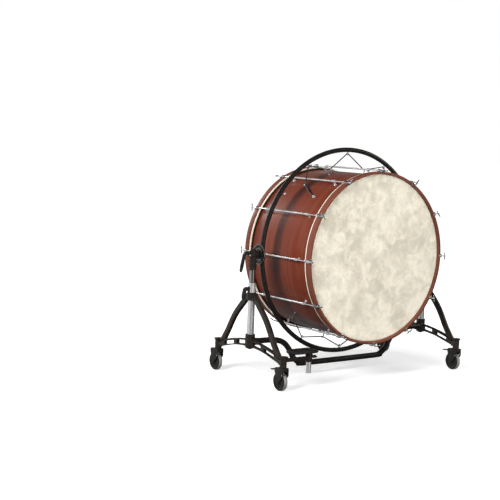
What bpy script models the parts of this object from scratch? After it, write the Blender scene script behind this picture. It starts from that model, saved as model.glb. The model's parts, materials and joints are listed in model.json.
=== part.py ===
"""Concert bass drum, 36 by 22 inches, hung on elastic cord in a tilting ring on a wheeled stand.

Metres, +Z up. X runs along the tilt axis, Y along the drum's own axis with the playing head at -Y.
Each shape is laid out from the floor under the middle of the drum, and the root empty then puts
the origin under the middle of the whole outline. Angles round the drum are in degrees from +Z
towards +X.
"""

import math

import bmesh
import bpy
from mathutils import Matrix, Vector

# Drum
SHELL_RADIUS = 0.454
SHELL_WALL = 0.009
SHELL_DEPTH = 0.5588
HOOP_RADIUS = 0.472
HOOP_WALL = 0.0135
HOOP_WIDTH = 0.038
HOOP_FACE = 0.294
HEAD_THICKNESS = 0.0012
FLESH_HOOP_RADIUS = 0.470
FLESH_HOOP_WIDTHS = {"front": 0.009, "rear": 0.014}
COLLAR_WALL = 0.0037
STATION_COUNT = 12
ROD_RADIUS_FROM_AXIS = 0.478
LUG_TUBE_RADIUS = 0.005
TENSION_ROD_RADIUS = 0.003
LUG_POST_Y = 0.18
T_BAR_Y = 0.318
T_BAR_LENGTH = 0.040
T_BAR_RADIUS = 0.0026

# Suspension ring and cords
PIVOT_HEIGHT = 0.683
DRUM_SAG = 0.0125
RING_RADIUS = 0.566
RING_TUBE_RADIUS = 0.0128
RING_CORD_RADIUS = 0.543
SHELL_CORD_RADIUS = 0.485
CORD_RADIUS = 0.0015
RING_HOOK_ANGLES = (-150, -30, 0, 30, 150, 180)
SHELL_HOOK_ANGLES = (-165, -135, -15, 15, 135, 165)
CLEAT_FOOT_ANGLE = 44.5
CLEAT_HOOK_ANGLE = 37.5
CLEAT_FOOT_Y = -0.115
PIVOT_BOSS_RADIUS = 0.018
PIVOT_DISC_RADIUS = 0.054
PIVOT_DISC_START = 0.5822
PIVOT_BOSS_END = 0.5905
PIVOT_PIN_RADIUS = 0.008

# Towers
TOWER_X = 0.626
POST_Y = 0.300
POST_RADIUS = 0.0185
POST_RIM_RADIUS = 0.0245
POST_BOTTOM = 0.1253
POST_TOP = 0.183
BEAM_THICKNESS = 0.020
SOCKET_RADIUS = 0.026
SOCKET_BOTTOM = 0.178
SOCKET_FLOOR = 0.190
SOCKET_TOP = 0.254
COLUMN_RADIUS = 0.01925
COLUMN_BORE = 0.0166
COLUMN_TOP = 0.530
MAST_RADIUS = 0.016
MAST_BORE = 0.0135
MAST_BOTTOM = 0.270
CLAMP_BOTTOM = 0.437
CLAMP_TOP = 0.480
CLAMP_TAB_TOP = 0.512
CLAMP_TAB_REACH = 0.0215
CLAMP_RADIUS = 0.024
LEG_WIDTH = 0.034
LEG_THICKNESS = 0.022
MAST_HEAD_BOTTOM = 0.600
MAST_HEAD_TOP = 0.713
MAST_HEAD_RADIUS = 0.0188
MAST_SOCKET_TOP = 0.655
PIVOT_BARREL_RADIUS = 0.0205
MAST_HEAD_INNER = 0.5965
MAST_HEAD_OUTER = 0.648
TILT_SCREW_HEIGHT = 0.692
HEIGHT_SCREW_HEIGHT = 0.500
BASE_TUBE_RADIUS = 0.0158
BASE_TUBE_Y = -0.0125
BASE_LUG_END = 0.5953

# Casters
WHEEL_RADIUS = 0.050
WHEEL_WIDTH = 0.029
WHEEL_SIDES = 24
CASTER_TRAIL = 0.019
AXLE_RADIUS = 0.0042
FORK_WIDTH = 0.041
FORK_SLOT = 0.0326
FORK_TOP = 0.1249
PEDAL_HINGE = (0.040, 0.111)

# Footrest
FOOTREST_X = -0.450
FOOTREST_Y = -0.290
FOOTREST_POST_RADIUS = 0.0135
FOOTREST_POST_BOTTOM = 0.081
FOOTREST_PLATE_BOTTOM = 0.192
FOOTREST_PLATE_TOP = 0.2095
FOOTREST_KNOB_HEIGHT = 0.166

GAP = 0.0003
# The casters trail, so the middle of the whole outline lies this far behind the drum's middle.
OUTLINE_MIDDLE = Vector((0, 0.017, 0))
DRUM_HEIGHT = PIVOT_HEIGHT - DRUM_SAG
DRUM_SEGMENTS = 60
TUBE_SEGMENTS = 16

# Turn of each T-bar about its rod, in degrees from the radial direction: front end, rear end.
T_BAR_TURNS = {
    0: (90, 80), 30: (10, 60), 60: (80, 40), 90: (90, 20), 120: (50, 70), 150: (90, 90),
    180: (90, 90), 210: (90, 90), 240: (30, 60), 270: (75, 10), 300: (20, 60), 330: (60, 30),
}

Z_TO_X = Matrix.Rotation(math.pi / 2, 4, "Y")
Z_TO_Y = Matrix.Rotation(-math.pi / 2, 4, "X")
XY_TO_YZ = Matrix(((0, 0, 1), (1, 0, 0), (0, 1, 0))).to_4x4()


def clear_scene():
    for old in list(bpy.data.objects):
        bpy.data.objects.remove(old, do_unlink=True)


def make_finish(name, colour, roughness, metallic):
    finish = bpy.data.materials.new(name)
    finish.use_nodes = True
    shader = finish.node_tree.nodes["Principled BSDF"]
    shader.inputs["Base Color"].default_value = (*colour, 1)
    shader.inputs["Roughness"].default_value = roughness
    shader.inputs["Metallic"].default_value = metallic
    return finish


def make_finishes():
    return {
        "black_paint": make_finish("black_paint", (0.02, 0.02, 0.02), 0.4, 0.3),
        "chrome": make_finish("chrome", (0.8, 0.8, 0.8), 0.12, 1),
        "mahogany": make_finish("mahogany", (0.22, 0.05, 0.03), 0.25, 0),
        "head_film": make_finish("head_film", (0.83, 0.79, 0.68), 0.5, 0),
        "hoop_cream": make_finish("hoop_cream", (0.85, 0.75, 0.62), 0.4, 0),
        "black_plastic": make_finish("black_plastic", (0.03, 0.03, 0.03), 0.45, 0),
        "grey_tyre": make_finish("grey_tyre", (0.5, 0.5, 0.49), 0.6, 0),
        "black_cord": make_finish("black_cord", (0.02, 0.02, 0.02), 0.8, 0),
    }


def mesh_from(build):
    bmesh.ops.recalc_face_normals(build, faces=build.faces)
    mesh = bpy.data.meshes.new("shape")
    build.to_mesh(mesh)
    build.free()
    return mesh


def moved(mesh, *matrices):
    """Applies the matrices in turn and returns the mesh."""
    for matrix in matrices:
        mesh.transform(matrix)
    return mesh


def shift(x, y, z):
    return Matrix.Translation((x, y, z))


def turned(profile, segments=TUBE_SEGMENTS):
    """Body of revolution about Z. The (radius, height) outline starts and ends on the axis,
    or else is a closed loop clear of it."""
    build = bmesh.new()
    points = [build.verts.new((radius, 0, height)) for radius, height in profile]
    edges = [build.edges.new(pair) for pair in zip(points, points[1:])]
    if profile[0][0] > 0:
        edges.append(build.edges.new((points[-1], points[0])))
    bmesh.ops.spin(
        build, geom=points + edges, axis=(0, 0, 1), cent=(0, 0, 0),
        angle=math.tau, steps=segments, use_merge=True,
    )
    bmesh.ops.remove_doubles(build, verts=build.verts, dist=1e-6)
    return mesh_from(build)


def rod(radius, start, end, segments=TUBE_SEGMENTS):
    """Solid cylinder about Z between two heights."""
    return turned([(0, start), (radius, start), (radius, end), (0, end)], segments)


def pipe(outer, inner, start, end, segments=TUBE_SEGMENTS):
    """Hollow cylinder about Z between two heights."""
    return turned([(inner, start), (outer, start), (outer, end), (inner, end)], segments)


def prism(outline, start, end):
    """Flat outline in XY, extruded in Z between two heights."""
    build = bmesh.new()
    face = build.faces.new([build.verts.new((x, y, start)) for x, y in outline])
    grown = bmesh.ops.extrude_face_region(build, geom=[face])
    top = [item for item in grown["geom"] if isinstance(item, bmesh.types.BMVert)]
    bmesh.ops.translate(build, verts=top, vec=(0, 0, end - start))
    return mesh_from(build)


def side_plate(outline, middle, thickness):
    """Flat outline in YZ, extruded in X about the given middle."""
    plate = prism(outline, middle - thickness / 2, middle + thickness / 2)
    return moved(plate, XY_TO_YZ)


def block(low, high):
    """Box between two corners."""
    base = [(low[0], low[1]), (high[0], low[1]), (high[0], high[1]), (low[0], high[1])]
    return prism(base, low[2], high[2])


def swept(points, radius, sides=8, tapers=None):
    """Round bar along a path; tapers scale the radius at each point."""
    curve = bpy.data.curves.new("path", "CURVE")
    curve.dimensions = "3D"
    curve.bevel_depth = radius
    curve.bevel_resolution = sides // 2 - 2
    curve.use_fill_caps = True
    spline = curve.splines.new("POLY")
    spline.points.add(len(points) - 1)
    for point, place, taper in zip(spline.points, points, tapers or [1] * len(points)):
        point.co = (*place, 1)
        point.radius = taper
    guide = bpy.data.objects.new("guide", curve)
    mesh = baked(guide)
    build = bmesh.new()
    build.from_mesh(mesh)
    bmesh.ops.remove_doubles(build, verts=build.verts, dist=1e-6)
    return mesh_from(build)


def smooth_path(points, steps):
    """Catmull-Rom curve through the points, with the given steps in each span."""
    knots = [Vector(point) for point in points]
    knots = [2 * knots[0] - knots[1], *knots, 2 * knots[-1] - knots[-2]]
    path = []
    for before, start, end, after in zip(knots, knots[1:], knots[2:], knots[3:]):
        for step in range(steps):
            t = step / steps
            path.append(
                0.5 * (
                    2 * start + (end - before) * t
                    + (2 * before - 5 * start + 4 * end - after) * t ** 2
                    + (3 * start - before - 3 * end + after) * t ** 3
                )
            )
    path.append(knots[-2])
    return path


def baked(guide):
    """The object's evaluated mesh; the object itself is taken away."""
    bpy.context.scene.collection.objects.link(guide)
    graph = bpy.context.evaluated_depsgraph_get()
    mesh = bpy.data.meshes.new_from_object(guide.evaluated_get(graph))
    bpy.data.objects.remove(guide, do_unlink=True)
    return mesh


def combined(operation, mesh, tools):
    """Joins the tools to the mesh, or cuts them from it, one after another."""
    for tool in tools:
        cutter = bpy.data.objects.new("cutter", tool)
        bpy.context.scene.collection.objects.link(cutter)
        body = bpy.data.objects.new("body", mesh)
        change = body.modifiers.new("change", "BOOLEAN")
        change.operation = operation
        change.object = cutter
        mesh = baked(body)
        bpy.data.objects.remove(cutter, do_unlink=True)
    return mesh


def joined(mesh, *tools):
    return combined("UNION", mesh, tools)


def cut(mesh, *tools):
    return combined("DIFFERENCE", mesh, tools)


def polar(radius, angle, y=0, height=DRUM_HEIGHT):
    """Point at a radius and angle round the drum's axis, or round the axis at another height."""
    turn = math.radians(angle)
    return Vector((radius * math.sin(turn), y, height + radius * math.cos(turn)))


class Assembly:
    """Empties for the moving bodies, and the parts that hang on them."""

    def __init__(self, finishes):
        self.finishes = finishes
        self.bodies = {}

    def body(self, name, pivot, parent=None):
        holder = bpy.data.objects.new(name + "_axis", None)
        bpy.context.scene.collection.objects.link(holder)
        self.bodies[name] = (holder, Vector(pivot))
        if parent:
            holder.parent, parent_pivot = self.bodies[parent]
            holder.location = Vector(pivot) - parent_pivot
        else:
            holder.location = Vector(pivot) - OUTLINE_MIDDLE

    def part(self, name, mesh, finish, body):
        """Adds a part whose mesh is in world coordinates, with its origin on its body's axis."""
        holder, pivot = self.bodies[body]
        mesh.name = name
        mesh.transform(Matrix.Translation(-pivot))
        mesh.materials.clear()
        mesh.materials.append(self.finishes[finish])
        mesh.shade_smooth()
        mesh.set_sharp_from_angle(angle=math.radians(35))
        item = bpy.data.objects.new(name, mesh)
        item.parent = holder
        bpy.context.scene.collection.objects.link(item)


def add_bodies(assembly):
    assembly.body("stand", (0, 0, 0))
    for side, sign in (("left", -1), ("right", 1)):
        x = sign * TOWER_X
        outer = sign * MAST_HEAD_OUTER
        assembly.body(side + "_mast", (x, 0, CLAMP_TOP), "stand")
        assembly.body(side + "_tilt_lever", (outer, 0, TILT_SCREW_HEIGHT), side + "_mast")
        assembly.body(side + "_height_lever", (outer, 0, HEIGHT_SCREW_HEIGHT), "stand")
        for end, post_y in (("front", -POST_Y), ("rear", POST_Y)):
            caster = side + "_" + end + "_caster"
            assembly.body(caster, (x, post_y, FORK_TOP), "stand")
            axle = (x, post_y + CASTER_TRAIL, WHEEL_RADIUS)
            assembly.body(side + "_" + end + "_wheel", axle, caster)
        hinge_y, hinge_z = PEDAL_HINGE
        pedal = (x, hinge_y - POST_Y, hinge_z)
        assembly.body(side + "_brake_pedal", pedal, side + "_front_caster")
    assembly.body("drum", (0, 0, PIVOT_HEIGHT), "left_mast")
    assembly.body("footrest", (FOOTREST_X, FOOTREST_Y, FOOTREST_PLATE_BOTTOM), "stand")
    knob = (FOOTREST_X, FOOTREST_Y, FOOTREST_KNOB_HEIGHT)
    assembly.body("footrest_knob", knob, "stand")


def drum_ring(profile, segments=DRUM_SEGMENTS):
    """Closed ring about the drum's axis from (radius, y) points."""
    return moved(turned(profile, segments), Z_TO_Y, shift(0, 0, DRUM_HEIGHT))


def cord_hook(cord_radius, root_radius):
    """Flat J hook at the top of the drum: its root is at one radius and the cord lies at another.
    The outline is (y, radius), and the J opens towards the root."""
    away = 1 if cord_radius > root_radius else -1
    tip = cord_radius + away * 0.007
    seat = cord_radius + away * 0.0035
    lip = cord_radius - away * 0.003
    outline = [
        (-0.0062, root_radius), (-0.0028, root_radius), (-0.0028, seat), (0.0028, seat),
        (0.0028, lip), (0.0062, lip), (0.0062, tip), (-0.0062, tip),
    ]
    return side_plate(outline, 0, 0.006)


def turned_about(mesh, angle, height):
    """Turns a mesh made about a Y axis at the origin, and lifts it to that axis's height."""
    return moved(mesh, Matrix.Rotation(math.radians(angle), 4, "Y"), shift(0, 0, height))


def add_shell(assembly):
    half = SHELL_DEPTH / 2
    inner = SHELL_RADIUS - SHELL_WALL
    shell = drum_ring([(inner, -half), (SHELL_RADIUS, -half), (SHELL_RADIUS, half), (inner, half)])
    hooks = [
        turned_about(cord_hook(SHELL_CORD_RADIUS, SHELL_RADIUS - 0.003), angle, DRUM_HEIGHT)
        for angle in SHELL_HOOK_ANGLES
    ]
    assembly.part("shell", joined(shell, *hooks), "mahogany", "drum")


def add_hoops_and_heads(assembly):
    inner = HOOP_RADIUS - HOOP_WALL
    collar = SHELL_RADIUS + GAP
    edge = SHELL_DEPTH / 2
    for end, sign in (("front", -1), ("rear", 1)):
        face = sign * HOOP_FACE
        back = sign * (HOOP_FACE - HOOP_WIDTH)
        hoop = [(inner, back), (HOOP_RADIUS, back), (HOOP_RADIUS, face), (inner, face)]
        assembly.part(end + "_hoop", drum_ring(hoop), "mahogany", "drum")
        start = back - sign * GAP
        stop = start - sign * FLESH_HOOP_WIDTHS[end]
        flesh = [
            (collar, stop), (FLESH_HOOP_RADIUS, stop), (FLESH_HOOP_RADIUS, start),
            (collar + COLLAR_WALL, start), (collar + COLLAR_WALL, sign * edge), (collar, sign * edge),
        ]
        assembly.part(end + "_flesh_hoop", drum_ring(flesh), "hoop_cream", "drum")
        under = sign * (edge + GAP)
        over = under + sign * HEAD_THICKNESS
        disc = [(0, under), (inner - GAP, under), (inner - GAP, over), (0, over)]
        assembly.part(end + "_head", drum_ring(disc), "head_film", "drum")


def tension_station(turns):
    """One lug tube with its two tension rods, claws and T-bars, at the top of the drum."""
    tube_end = LUG_POST_Y + 0.012
    end = T_BAR_Y
    profile = [
        (0, -end), (TENSION_ROD_RADIUS, -end), (TENSION_ROD_RADIUS, -tube_end),
        (LUG_TUBE_RADIUS, -tube_end), (LUG_TUBE_RADIUS, tube_end),
        (TENSION_ROD_RADIUS, tube_end), (TENSION_ROD_RADIUS, end), (0, end),
    ]
    axis = shift(0, 0, ROD_RADIUS_FROM_AXIS)
    body = moved(turned(profile, 6), Z_TO_Y, axis)
    extras = []
    for sign, turn in zip((-1, 1), turns):
        foot = SHELL_RADIUS + GAP
        extras.append(moved(rod(0.0065, foot, ROD_RADIUS_FROM_AXIS, 6), shift(0, sign * LUG_POST_Y, 0)))
        top = HOOP_RADIUS + GAP
        face = HOOP_FACE + GAP
        claw = [
            (sign * (face - 0.034), top), (sign * (face - 0.034), top + 0.0115),
            (sign * (face - 0.010), top + 0.0115), (sign * (face + 0.004), top + 0.003),
            (sign * (face + 0.004), top - 0.010), (sign * face, top - 0.010), (sign * face, top),
        ]
        extras.append(side_plate(claw, 0, 0.016))
        bar = rod(T_BAR_RADIUS, -T_BAR_LENGTH / 2, T_BAR_LENGTH / 2, 6)
        spin = Matrix.Rotation(math.radians(turn), 4, "Y")
        extras.append(moved(bar, spin, axis, shift(0, sign * T_BAR_Y, 0)))
    return joined(body, *extras)


def add_tension_stations(assembly):
    for angle in range(0, 360, 360 // STATION_COUNT):
        station = turned_about(tension_station(T_BAR_TURNS[angle]), angle, DRUM_HEIGHT)
        assembly.part("tension_lug_%03d" % angle, station, "chrome", "drum")


def add_ring(assembly):
    sides = 8
    section = [
        (
            RING_RADIUS + RING_TUBE_RADIUS * math.cos(math.tau * (k + 0.5) / sides),
            RING_TUBE_RADIUS * math.sin(math.tau * (k + 0.5) / sides),
        )
        for k in range(sides)
    ]
    ring = moved(turned(section, DRUM_SEGMENTS), Z_TO_Y, shift(0, 0, PIVOT_HEIGHT))
    extras = [
        turned_about(cord_hook(RING_CORD_RADIUS, RING_RADIUS - 0.008), angle, PIVOT_HEIGHT)
        for angle in RING_HOOK_ANGLES
    ]
    for sign in (-1, 1):
        boss = turned([
            (0, sign * RING_RADIUS), (PIVOT_BOSS_RADIUS, sign * RING_RADIUS),
            (PIVOT_BOSS_RADIUS, sign * PIVOT_DISC_START), (PIVOT_DISC_RADIUS, sign * PIVOT_DISC_START),
            (PIVOT_DISC_RADIUS, sign * PIVOT_BOSS_END), (0, sign * PIVOT_BOSS_END),
        ], 24)
        extras.append(moved(boss, Z_TO_X, shift(0, 0, PIVOT_HEIGHT)))
    assembly.part("suspension_ring", joined(ring, *extras), "black_paint", "drum")


def add_pivot_pins(assembly):
    """Flanged pins that turn in the mast heads."""
    flange = PIVOT_BOSS_END + GAP
    shoulder = MAST_HEAD_INNER - 0.0005
    tip = MAST_HEAD_OUTER - 0.008
    for side, sign in (("left", -1), ("right", 1)):
        profile = [
            (0, sign * flange), (0.014, sign * flange), (0.014, sign * shoulder),
            (PIVOT_PIN_RADIUS, sign * shoulder), (PIVOT_PIN_RADIUS, sign * tip), (0, sign * tip),
        ]
        pin = moved(turned(profile), Z_TO_X, shift(0, 0, PIVOT_HEIGHT))
        assembly.part(side + "_pivot_pin", pin, "chrome", "drum")


def cleat_hook_point(sign):
    return polar(0.480, sign * CLEAT_HOOK_ANGLE)


def add_cleats(assembly):
    """Black bars that anchor the upper cord's two ends to the shell."""
    for side, sign in (("left", -1), ("right", 1)):
        angle = sign * CLEAT_FOOT_ANGLE
        foot = moved(rod(0.009, SHELL_RADIUS + GAP, SHELL_RADIUS + 0.010, 12), shift(0, CLEAT_FOOT_Y, 0))
        foot = turned_about(foot, angle, DRUM_HEIGHT)
        path = [
            polar(SHELL_RADIUS + 0.006, angle, CLEAT_FOOT_Y),
            polar(SHELL_RADIUS + 0.012, sign * (CLEAT_FOOT_ANGLE - 2.5), CLEAT_FOOT_Y + 0.045),
            polar(0.476, sign * (CLEAT_HOOK_ANGLE + 1.5), -0.028),
            cleat_hook_point(sign),
        ]
        bar = swept(smooth_path(path, 4), 0.004)
        assembly.part(side + "_cord_cleat", joined(foot, bar), "black_paint", "drum")


def hooked(radius, angle, height):
    """Three points that carry a cord straight through a hook."""
    middle = polar(radius, angle, 0, height)
    turn = math.radians(angle)
    along = Vector((math.cos(turn), 0, -math.sin(turn))) * 0.006
    return [middle - along, middle, middle + along]


def cord_route(stops):
    """Cord points through (place, angle) stops: ring hooks, shell hooks and the cleats' ends."""
    points = []
    for place, angle in stops:
        if place == "ring":
            points += hooked(RING_CORD_RADIUS, angle, PIVOT_HEIGHT)
        elif place == "shell":
            points += hooked(SHELL_CORD_RADIUS, angle, DRUM_HEIGHT)
        else:
            points.append(polar(0.4845, angle - math.copysign(0.45, angle)))
    return points


def add_cords(assembly):
    top = [("cleat", -CLEAT_HOOK_ANGLE), ("ring", -30), ("shell", -15), ("ring", 0)]
    top += [("shell", 15), ("ring", 30), ("cleat", CLEAT_HOOK_ANGLE)]
    bottom = [("shell", 135), ("ring", 150), ("shell", 165), ("ring", 180)]
    bottom += [("shell", 195), ("ring", 210), ("shell", 225)]
    for name, stops in (("top", top), ("bottom", bottom)):
        cord = swept(cord_route(stops), CORD_RADIUS, 6)
        assembly.part("suspension_cord_" + name, cord, "black_cord", "drum")


def beam_outline():
    """Arched foot beam in (y, z), from one post to the other."""
    top = [(0.0, 0.2255), (0.052, 0.2235), (0.110, 0.2155), (0.168, 0.2050), (0.209, 0.195), (0.290, 0.158)]
    under = [(0.0, 0.185), (0.060, 0.1835), (0.110, 0.178), (0.150, 0.1715), (0.200, 0.159), (0.235, 0.150)]
    under.append((0.290, 0.136))
    left_top = [(-y, z) for y, z in reversed(top[1:])]
    left_under = [(-y, z) for y, z in under[1:]]
    return left_top + top + list(reversed(under)) + left_under


def beam_windows():
    """Four slots through the beam, in (y, z)."""
    outer = [(0.139, 0.1795), (0.2265, 0.1610), (0.2265, 0.1795), (0.139, 0.1985)]
    inner = [(0.034, 0.1960), (0.108, 0.1870), (0.108, 0.2065), (0.034, 0.2155)]
    windows = []
    for sign in (-1, 1):
        windows += [[(sign * y, z) for y, z in outline] for outline in (outer, inner)]
    return windows


def add_foot(assembly, side, sign):
    x = sign * TOWER_X
    foot = side_plate(beam_outline(), x, BEAM_THICKNESS)
    posts = []
    sockets = []
    for y in (-POST_Y, POST_Y):
        profile = [
            (0, POST_BOTTOM), (POST_RADIUS, POST_BOTTOM), (POST_RADIUS, POST_TOP - 0.007),
            (POST_RIM_RADIUS, POST_TOP - 0.004), (POST_RIM_RADIUS, POST_TOP), (0, POST_TOP),
        ]
        posts.append(moved(turned(profile), shift(x, y, 0)))
        sockets.append(moved(rod(0.0066, POST_BOTTOM - 0.01, 0.158, 10), shift(x, y, 0)))
    column_socket = moved(
        turned([
            (0, SOCKET_BOTTOM - 0.006), (0.010, SOCKET_BOTTOM - 0.006), (0.010, SOCKET_BOTTOM),
            (SOCKET_RADIUS, SOCKET_BOTTOM), (SOCKET_RADIUS, SOCKET_TOP), (0, SOCKET_TOP),
        ]),
        shift(x, 0, 0),
    )
    near, far = sorted((x - sign * 0.006, sign * BASE_LUG_END))
    lug = block((near, BASE_TUBE_Y - 0.018, 0.197), (far, BASE_TUBE_Y + 0.018, 0.233))
    column_bore = moved(rod(COLUMN_RADIUS + GAP, SOCKET_FLOOR, SOCKET_TOP + 0.01), shift(x, 0, 0))
    windows = [side_plate(outline, x, 2 * BEAM_THICKNESS) for outline in beam_windows()]
    foot = joined(foot, *posts, column_socket, lug)
    foot = cut(foot, *windows, *sockets, column_bore)
    assembly.part(side + "_foot", foot, "black_paint", "stand")


def leg_outline():
    """Curved leg in (|y|, z): top cut against the clamp, foot resting on the beam beside its post."""
    spine = [(0.064, 0.4230), (0.105, 0.3830), (0.142, 0.3430), (0.174, 0.2975), (0.205, 0.2470)]
    spine.append((0.229, 0.2130))
    outer = []
    inner = []
    for k, (y, z) in enumerate(spine):
        before = spine[max(k - 1, 0)]
        after = spine[min(k + 1, len(spine) - 1)]
        along = Vector((after[0] - before[0], after[1] - before[1])).normalized()
        across = Vector((-along.y, along.x)) * LEG_WIDTH / 2
        outer.append((y + across.x, z + across.y))
        inner.append((y - across.x, z - across.y))
    top = [(CLAMP_RADIUS + GAP, 0.441), (CLAMP_RADIUS + GAP, 0.476)]
    foot = [(0.2750, 0.1825), (0.2750, 0.1655), (0.2215, 0.1899)]
    return top + outer + foot + list(reversed(inner))


def add_legs(assembly, side, sign):
    for end, direction in (("front", -1), ("rear", 1)):
        outline = [(direction * y, z) for y, z in leg_outline()]
        leg = side_plate(outline, sign * TOWER_X, LEG_THICKNESS)
        assembly.part(side + "_" + end + "_leg", leg, "black_paint", "stand")


def add_column(assembly, side, sign):
    place = shift(sign * TOWER_X, 0, 0)
    column = pipe(COLUMN_RADIUS, COLUMN_BORE, SOCKET_FLOOR + GAP, COLUMN_TOP)
    assembly.part(side + "_column", moved(column, place), "chrome", "stand")
    clamp = pipe(CLAMP_RADIUS, COLUMN_RADIUS + GAP, CLAMP_BOTTOM, CLAMP_TOP)
    near, far = sorted((sign * (COLUMN_RADIUS + 0.0006), sign * CLAMP_TAB_REACH))
    tab = block((near, -0.009, CLAMP_BOTTOM + 0.020), (far, 0.009, CLAMP_TAB_TOP))
    boss = moved(rod(0.008, sign * (COLUMN_RADIUS + 0.001), sign * (MAST_HEAD_OUTER - TOWER_X), 12), Z_TO_X)
    boss = moved(boss, shift(0, 0, HEIGHT_SCREW_HEIGHT))
    assembly.part(side + "_column_clamp", moved(joined(clamp, tab, boss), place), "black_paint", "stand")


def add_mast(assembly, side, sign):
    x = sign * TOWER_X
    mast = pipe(MAST_RADIUS, MAST_BORE, MAST_BOTTOM, MAST_SOCKET_TOP - GAP)
    assembly.part(side + "_mast_tube", moved(mast, shift(x, 0, 0)), "chrome", side + "_mast")
    chamfer = 0.006
    sleeve = turned([
        (0, MAST_HEAD_BOTTOM), (MAST_HEAD_RADIUS, MAST_HEAD_BOTTOM),
        (MAST_HEAD_RADIUS, MAST_HEAD_TOP - chamfer), (MAST_HEAD_RADIUS - chamfer, MAST_HEAD_TOP),
        (0, MAST_HEAD_TOP),
    ], 20)
    barrel = rod(PIVOT_BARREL_RADIUS, sign * MAST_HEAD_INNER, sign * MAST_HEAD_OUTER, 18)
    head = joined(moved(sleeve, shift(x, 0, 0)), moved(barrel, Z_TO_X, shift(0, 0, PIVOT_HEIGHT)))
    mast_bore = moved(rod(MAST_RADIUS + GAP, MAST_HEAD_BOTTOM - 0.01, MAST_SOCKET_TOP), shift(x, 0, 0))
    pin_bore = rod(PIVOT_PIN_RADIUS + 0.0006, -0.05, 0.05)
    pin_bore = moved(pin_bore, Z_TO_X, shift(x, 0, PIVOT_HEIGHT))
    head = cut(head, mast_bore, pin_bore)
    assembly.part(side + "_mast_head", head, "black_paint", side + "_mast")


def lever(sign, height, reach, drop, sideways):
    """Bent clamp lever: a screw going outwards, then a tapered handle hanging down."""
    start = MAST_HEAD_OUTER + GAP
    out = start + reach
    path = [
        (sign * start, 0, height), (sign * (out - 0.010), 0, height),
        (sign * (out - 0.002), 0.04 * sideways, height - 0.004),
        (sign * out, 0.12 * sideways, height - 0.014),
        (sign * (out + 0.002), 0.6 * sideways, height - 0.6 * drop),
        (sign * (out + 0.003), sideways, height - drop),
    ]
    return swept(path, 0.0075, 8, [1, 1.1, 1.25, 1.25, 1.25, 1.1])


def add_levers(assembly, side, sign):
    tilt = lever(sign, TILT_SCREW_HEIGHT, 0.036, 0.100, 0.022)
    assembly.part(side + "_tilt_handle", tilt, "black_plastic", side + "_tilt_lever")
    height = lever(sign, HEIGHT_SCREW_HEIGHT, 0.026, 0.052, 0.006)
    assembly.part(side + "_height_handle", height, "black_plastic", side + "_height_lever")


def add_base_tube(assembly):
    """U-shaped tube that joins the two feet under the drum."""
    half = [
        (0.540, 0.215), (0.500, 0.214), (0.458, 0.2095), (0.422, 0.199), (0.394, 0.181), (0.373, 0.157),
        (0.357, 0.134), (0.346, 0.115), (0.331, 0.097), (0.312, 0.082), (0.290, 0.072), (0.255, 0.067),
    ]
    end = BASE_LUG_END - GAP
    left = [(-end, BASE_TUBE_Y, 0.215)] + [(-x, BASE_TUBE_Y, z) for x, z in half]
    right = [(-x, y, z) for x, y, z in reversed(left)]
    tube = swept(left + right, BASE_TUBE_RADIUS, 8)
    assembly.part("base_tube", tube, "black_paint", "stand")


def fork_outline():
    """Caster fork cheek in (y from the swivel axis, z)."""
    steps = 5
    around_axle = [
        (
            CASTER_TRAIL + 0.012 * math.cos(math.radians(200 + 160 * k / steps)),
            WHEEL_RADIUS + 0.012 * math.sin(math.radians(200 + 160 * k / steps)),
        )
        for k in range(steps + 1)
    ]
    front = [(-0.024, FORK_TOP), (-0.024, 0.085)]
    rear = [(0.040, 0.086), (0.047, 0.103), (0.047, 0.117), (0.040, FORK_TOP)]
    return front + around_axle + rear


def add_caster(assembly, side, end, x, post_y):
    place = shift(x, post_y, 0)
    fork = side_plate(fork_outline(), 0, FORK_WIDTH)
    slot = FORK_SLOT / 2
    wheel_slot = block((-slot, -0.05, 0.01), (slot, 0.08, 0.1035))
    pedal_slot = block((-slot, 0.0335, 0.09), (slot, 0.08, 0.14))
    axle = moved(rod(AXLE_RADIUS, -FORK_WIDTH / 2 + 0.001, FORK_WIDTH / 2 - 0.001, 10), Z_TO_X)
    axle = moved(axle, shift(0, CASTER_TRAIL, WHEEL_RADIUS))
    stem = rod(0.006, FORK_TOP - 0.006, 0.155, 10)
    fork = joined(cut(fork, wheel_slot, pedal_slot), axle, stem)
    caster = side + "_" + end + "_caster"
    assembly.part(caster + "_fork", moved(fork, place), "black_plastic", caster)
    half = WHEEL_WIDTH / 2
    flat = 1 / math.cos(math.pi / WHEEL_SIDES)
    bore = AXLE_RADIUS + 0.0006
    tread = half - 0.006
    profile = [
        (bore, -half + 0.001), (0.036, -half + 0.002), (0.045 * flat, -half), (WHEEL_RADIUS * flat, -tread),
        (WHEEL_RADIUS * flat, tread), (0.045 * flat, half), (0.036, half - 0.002), (bore, half - 0.001),
    ]
    wheel = moved(turned(profile, WHEEL_SIDES), Matrix.Rotation(math.pi / WHEEL_SIDES, 4, "Z"), Z_TO_X)
    wheel = moved(wheel, shift(0, CASTER_TRAIL, WHEEL_RADIUS), place)
    assembly.part(side + "_" + end + "_caster_wheel", wheel, "grey_tyre", side + "_" + end + "_wheel")


def add_brake_pedal(assembly, side, x):
    y, z = PEDAL_HINGE
    barrel = moved(rod(0.005, -0.0155, 0.0155, 10), Z_TO_X, shift(0, y, z))
    outline = [(-0.011, y), (0.011, y), (0.012, y + 0.045), (0.006, y + 0.062), (-0.006, y + 0.062)]
    outline.append((-0.012, y + 0.045))
    tread = moved(prism(outline, -0.0025, 0.0025), shift(0, -y, 0))
    tread = moved(tread, Matrix.Rotation(math.radians(-7), 4, "X"), shift(0, y, z - 0.001))
    pedal = moved(joined(barrel, tread), shift(x, -POST_Y, 0))
    assembly.part(side + "_brake_pedal", pedal, "black_plastic", side + "_brake_pedal")


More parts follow.
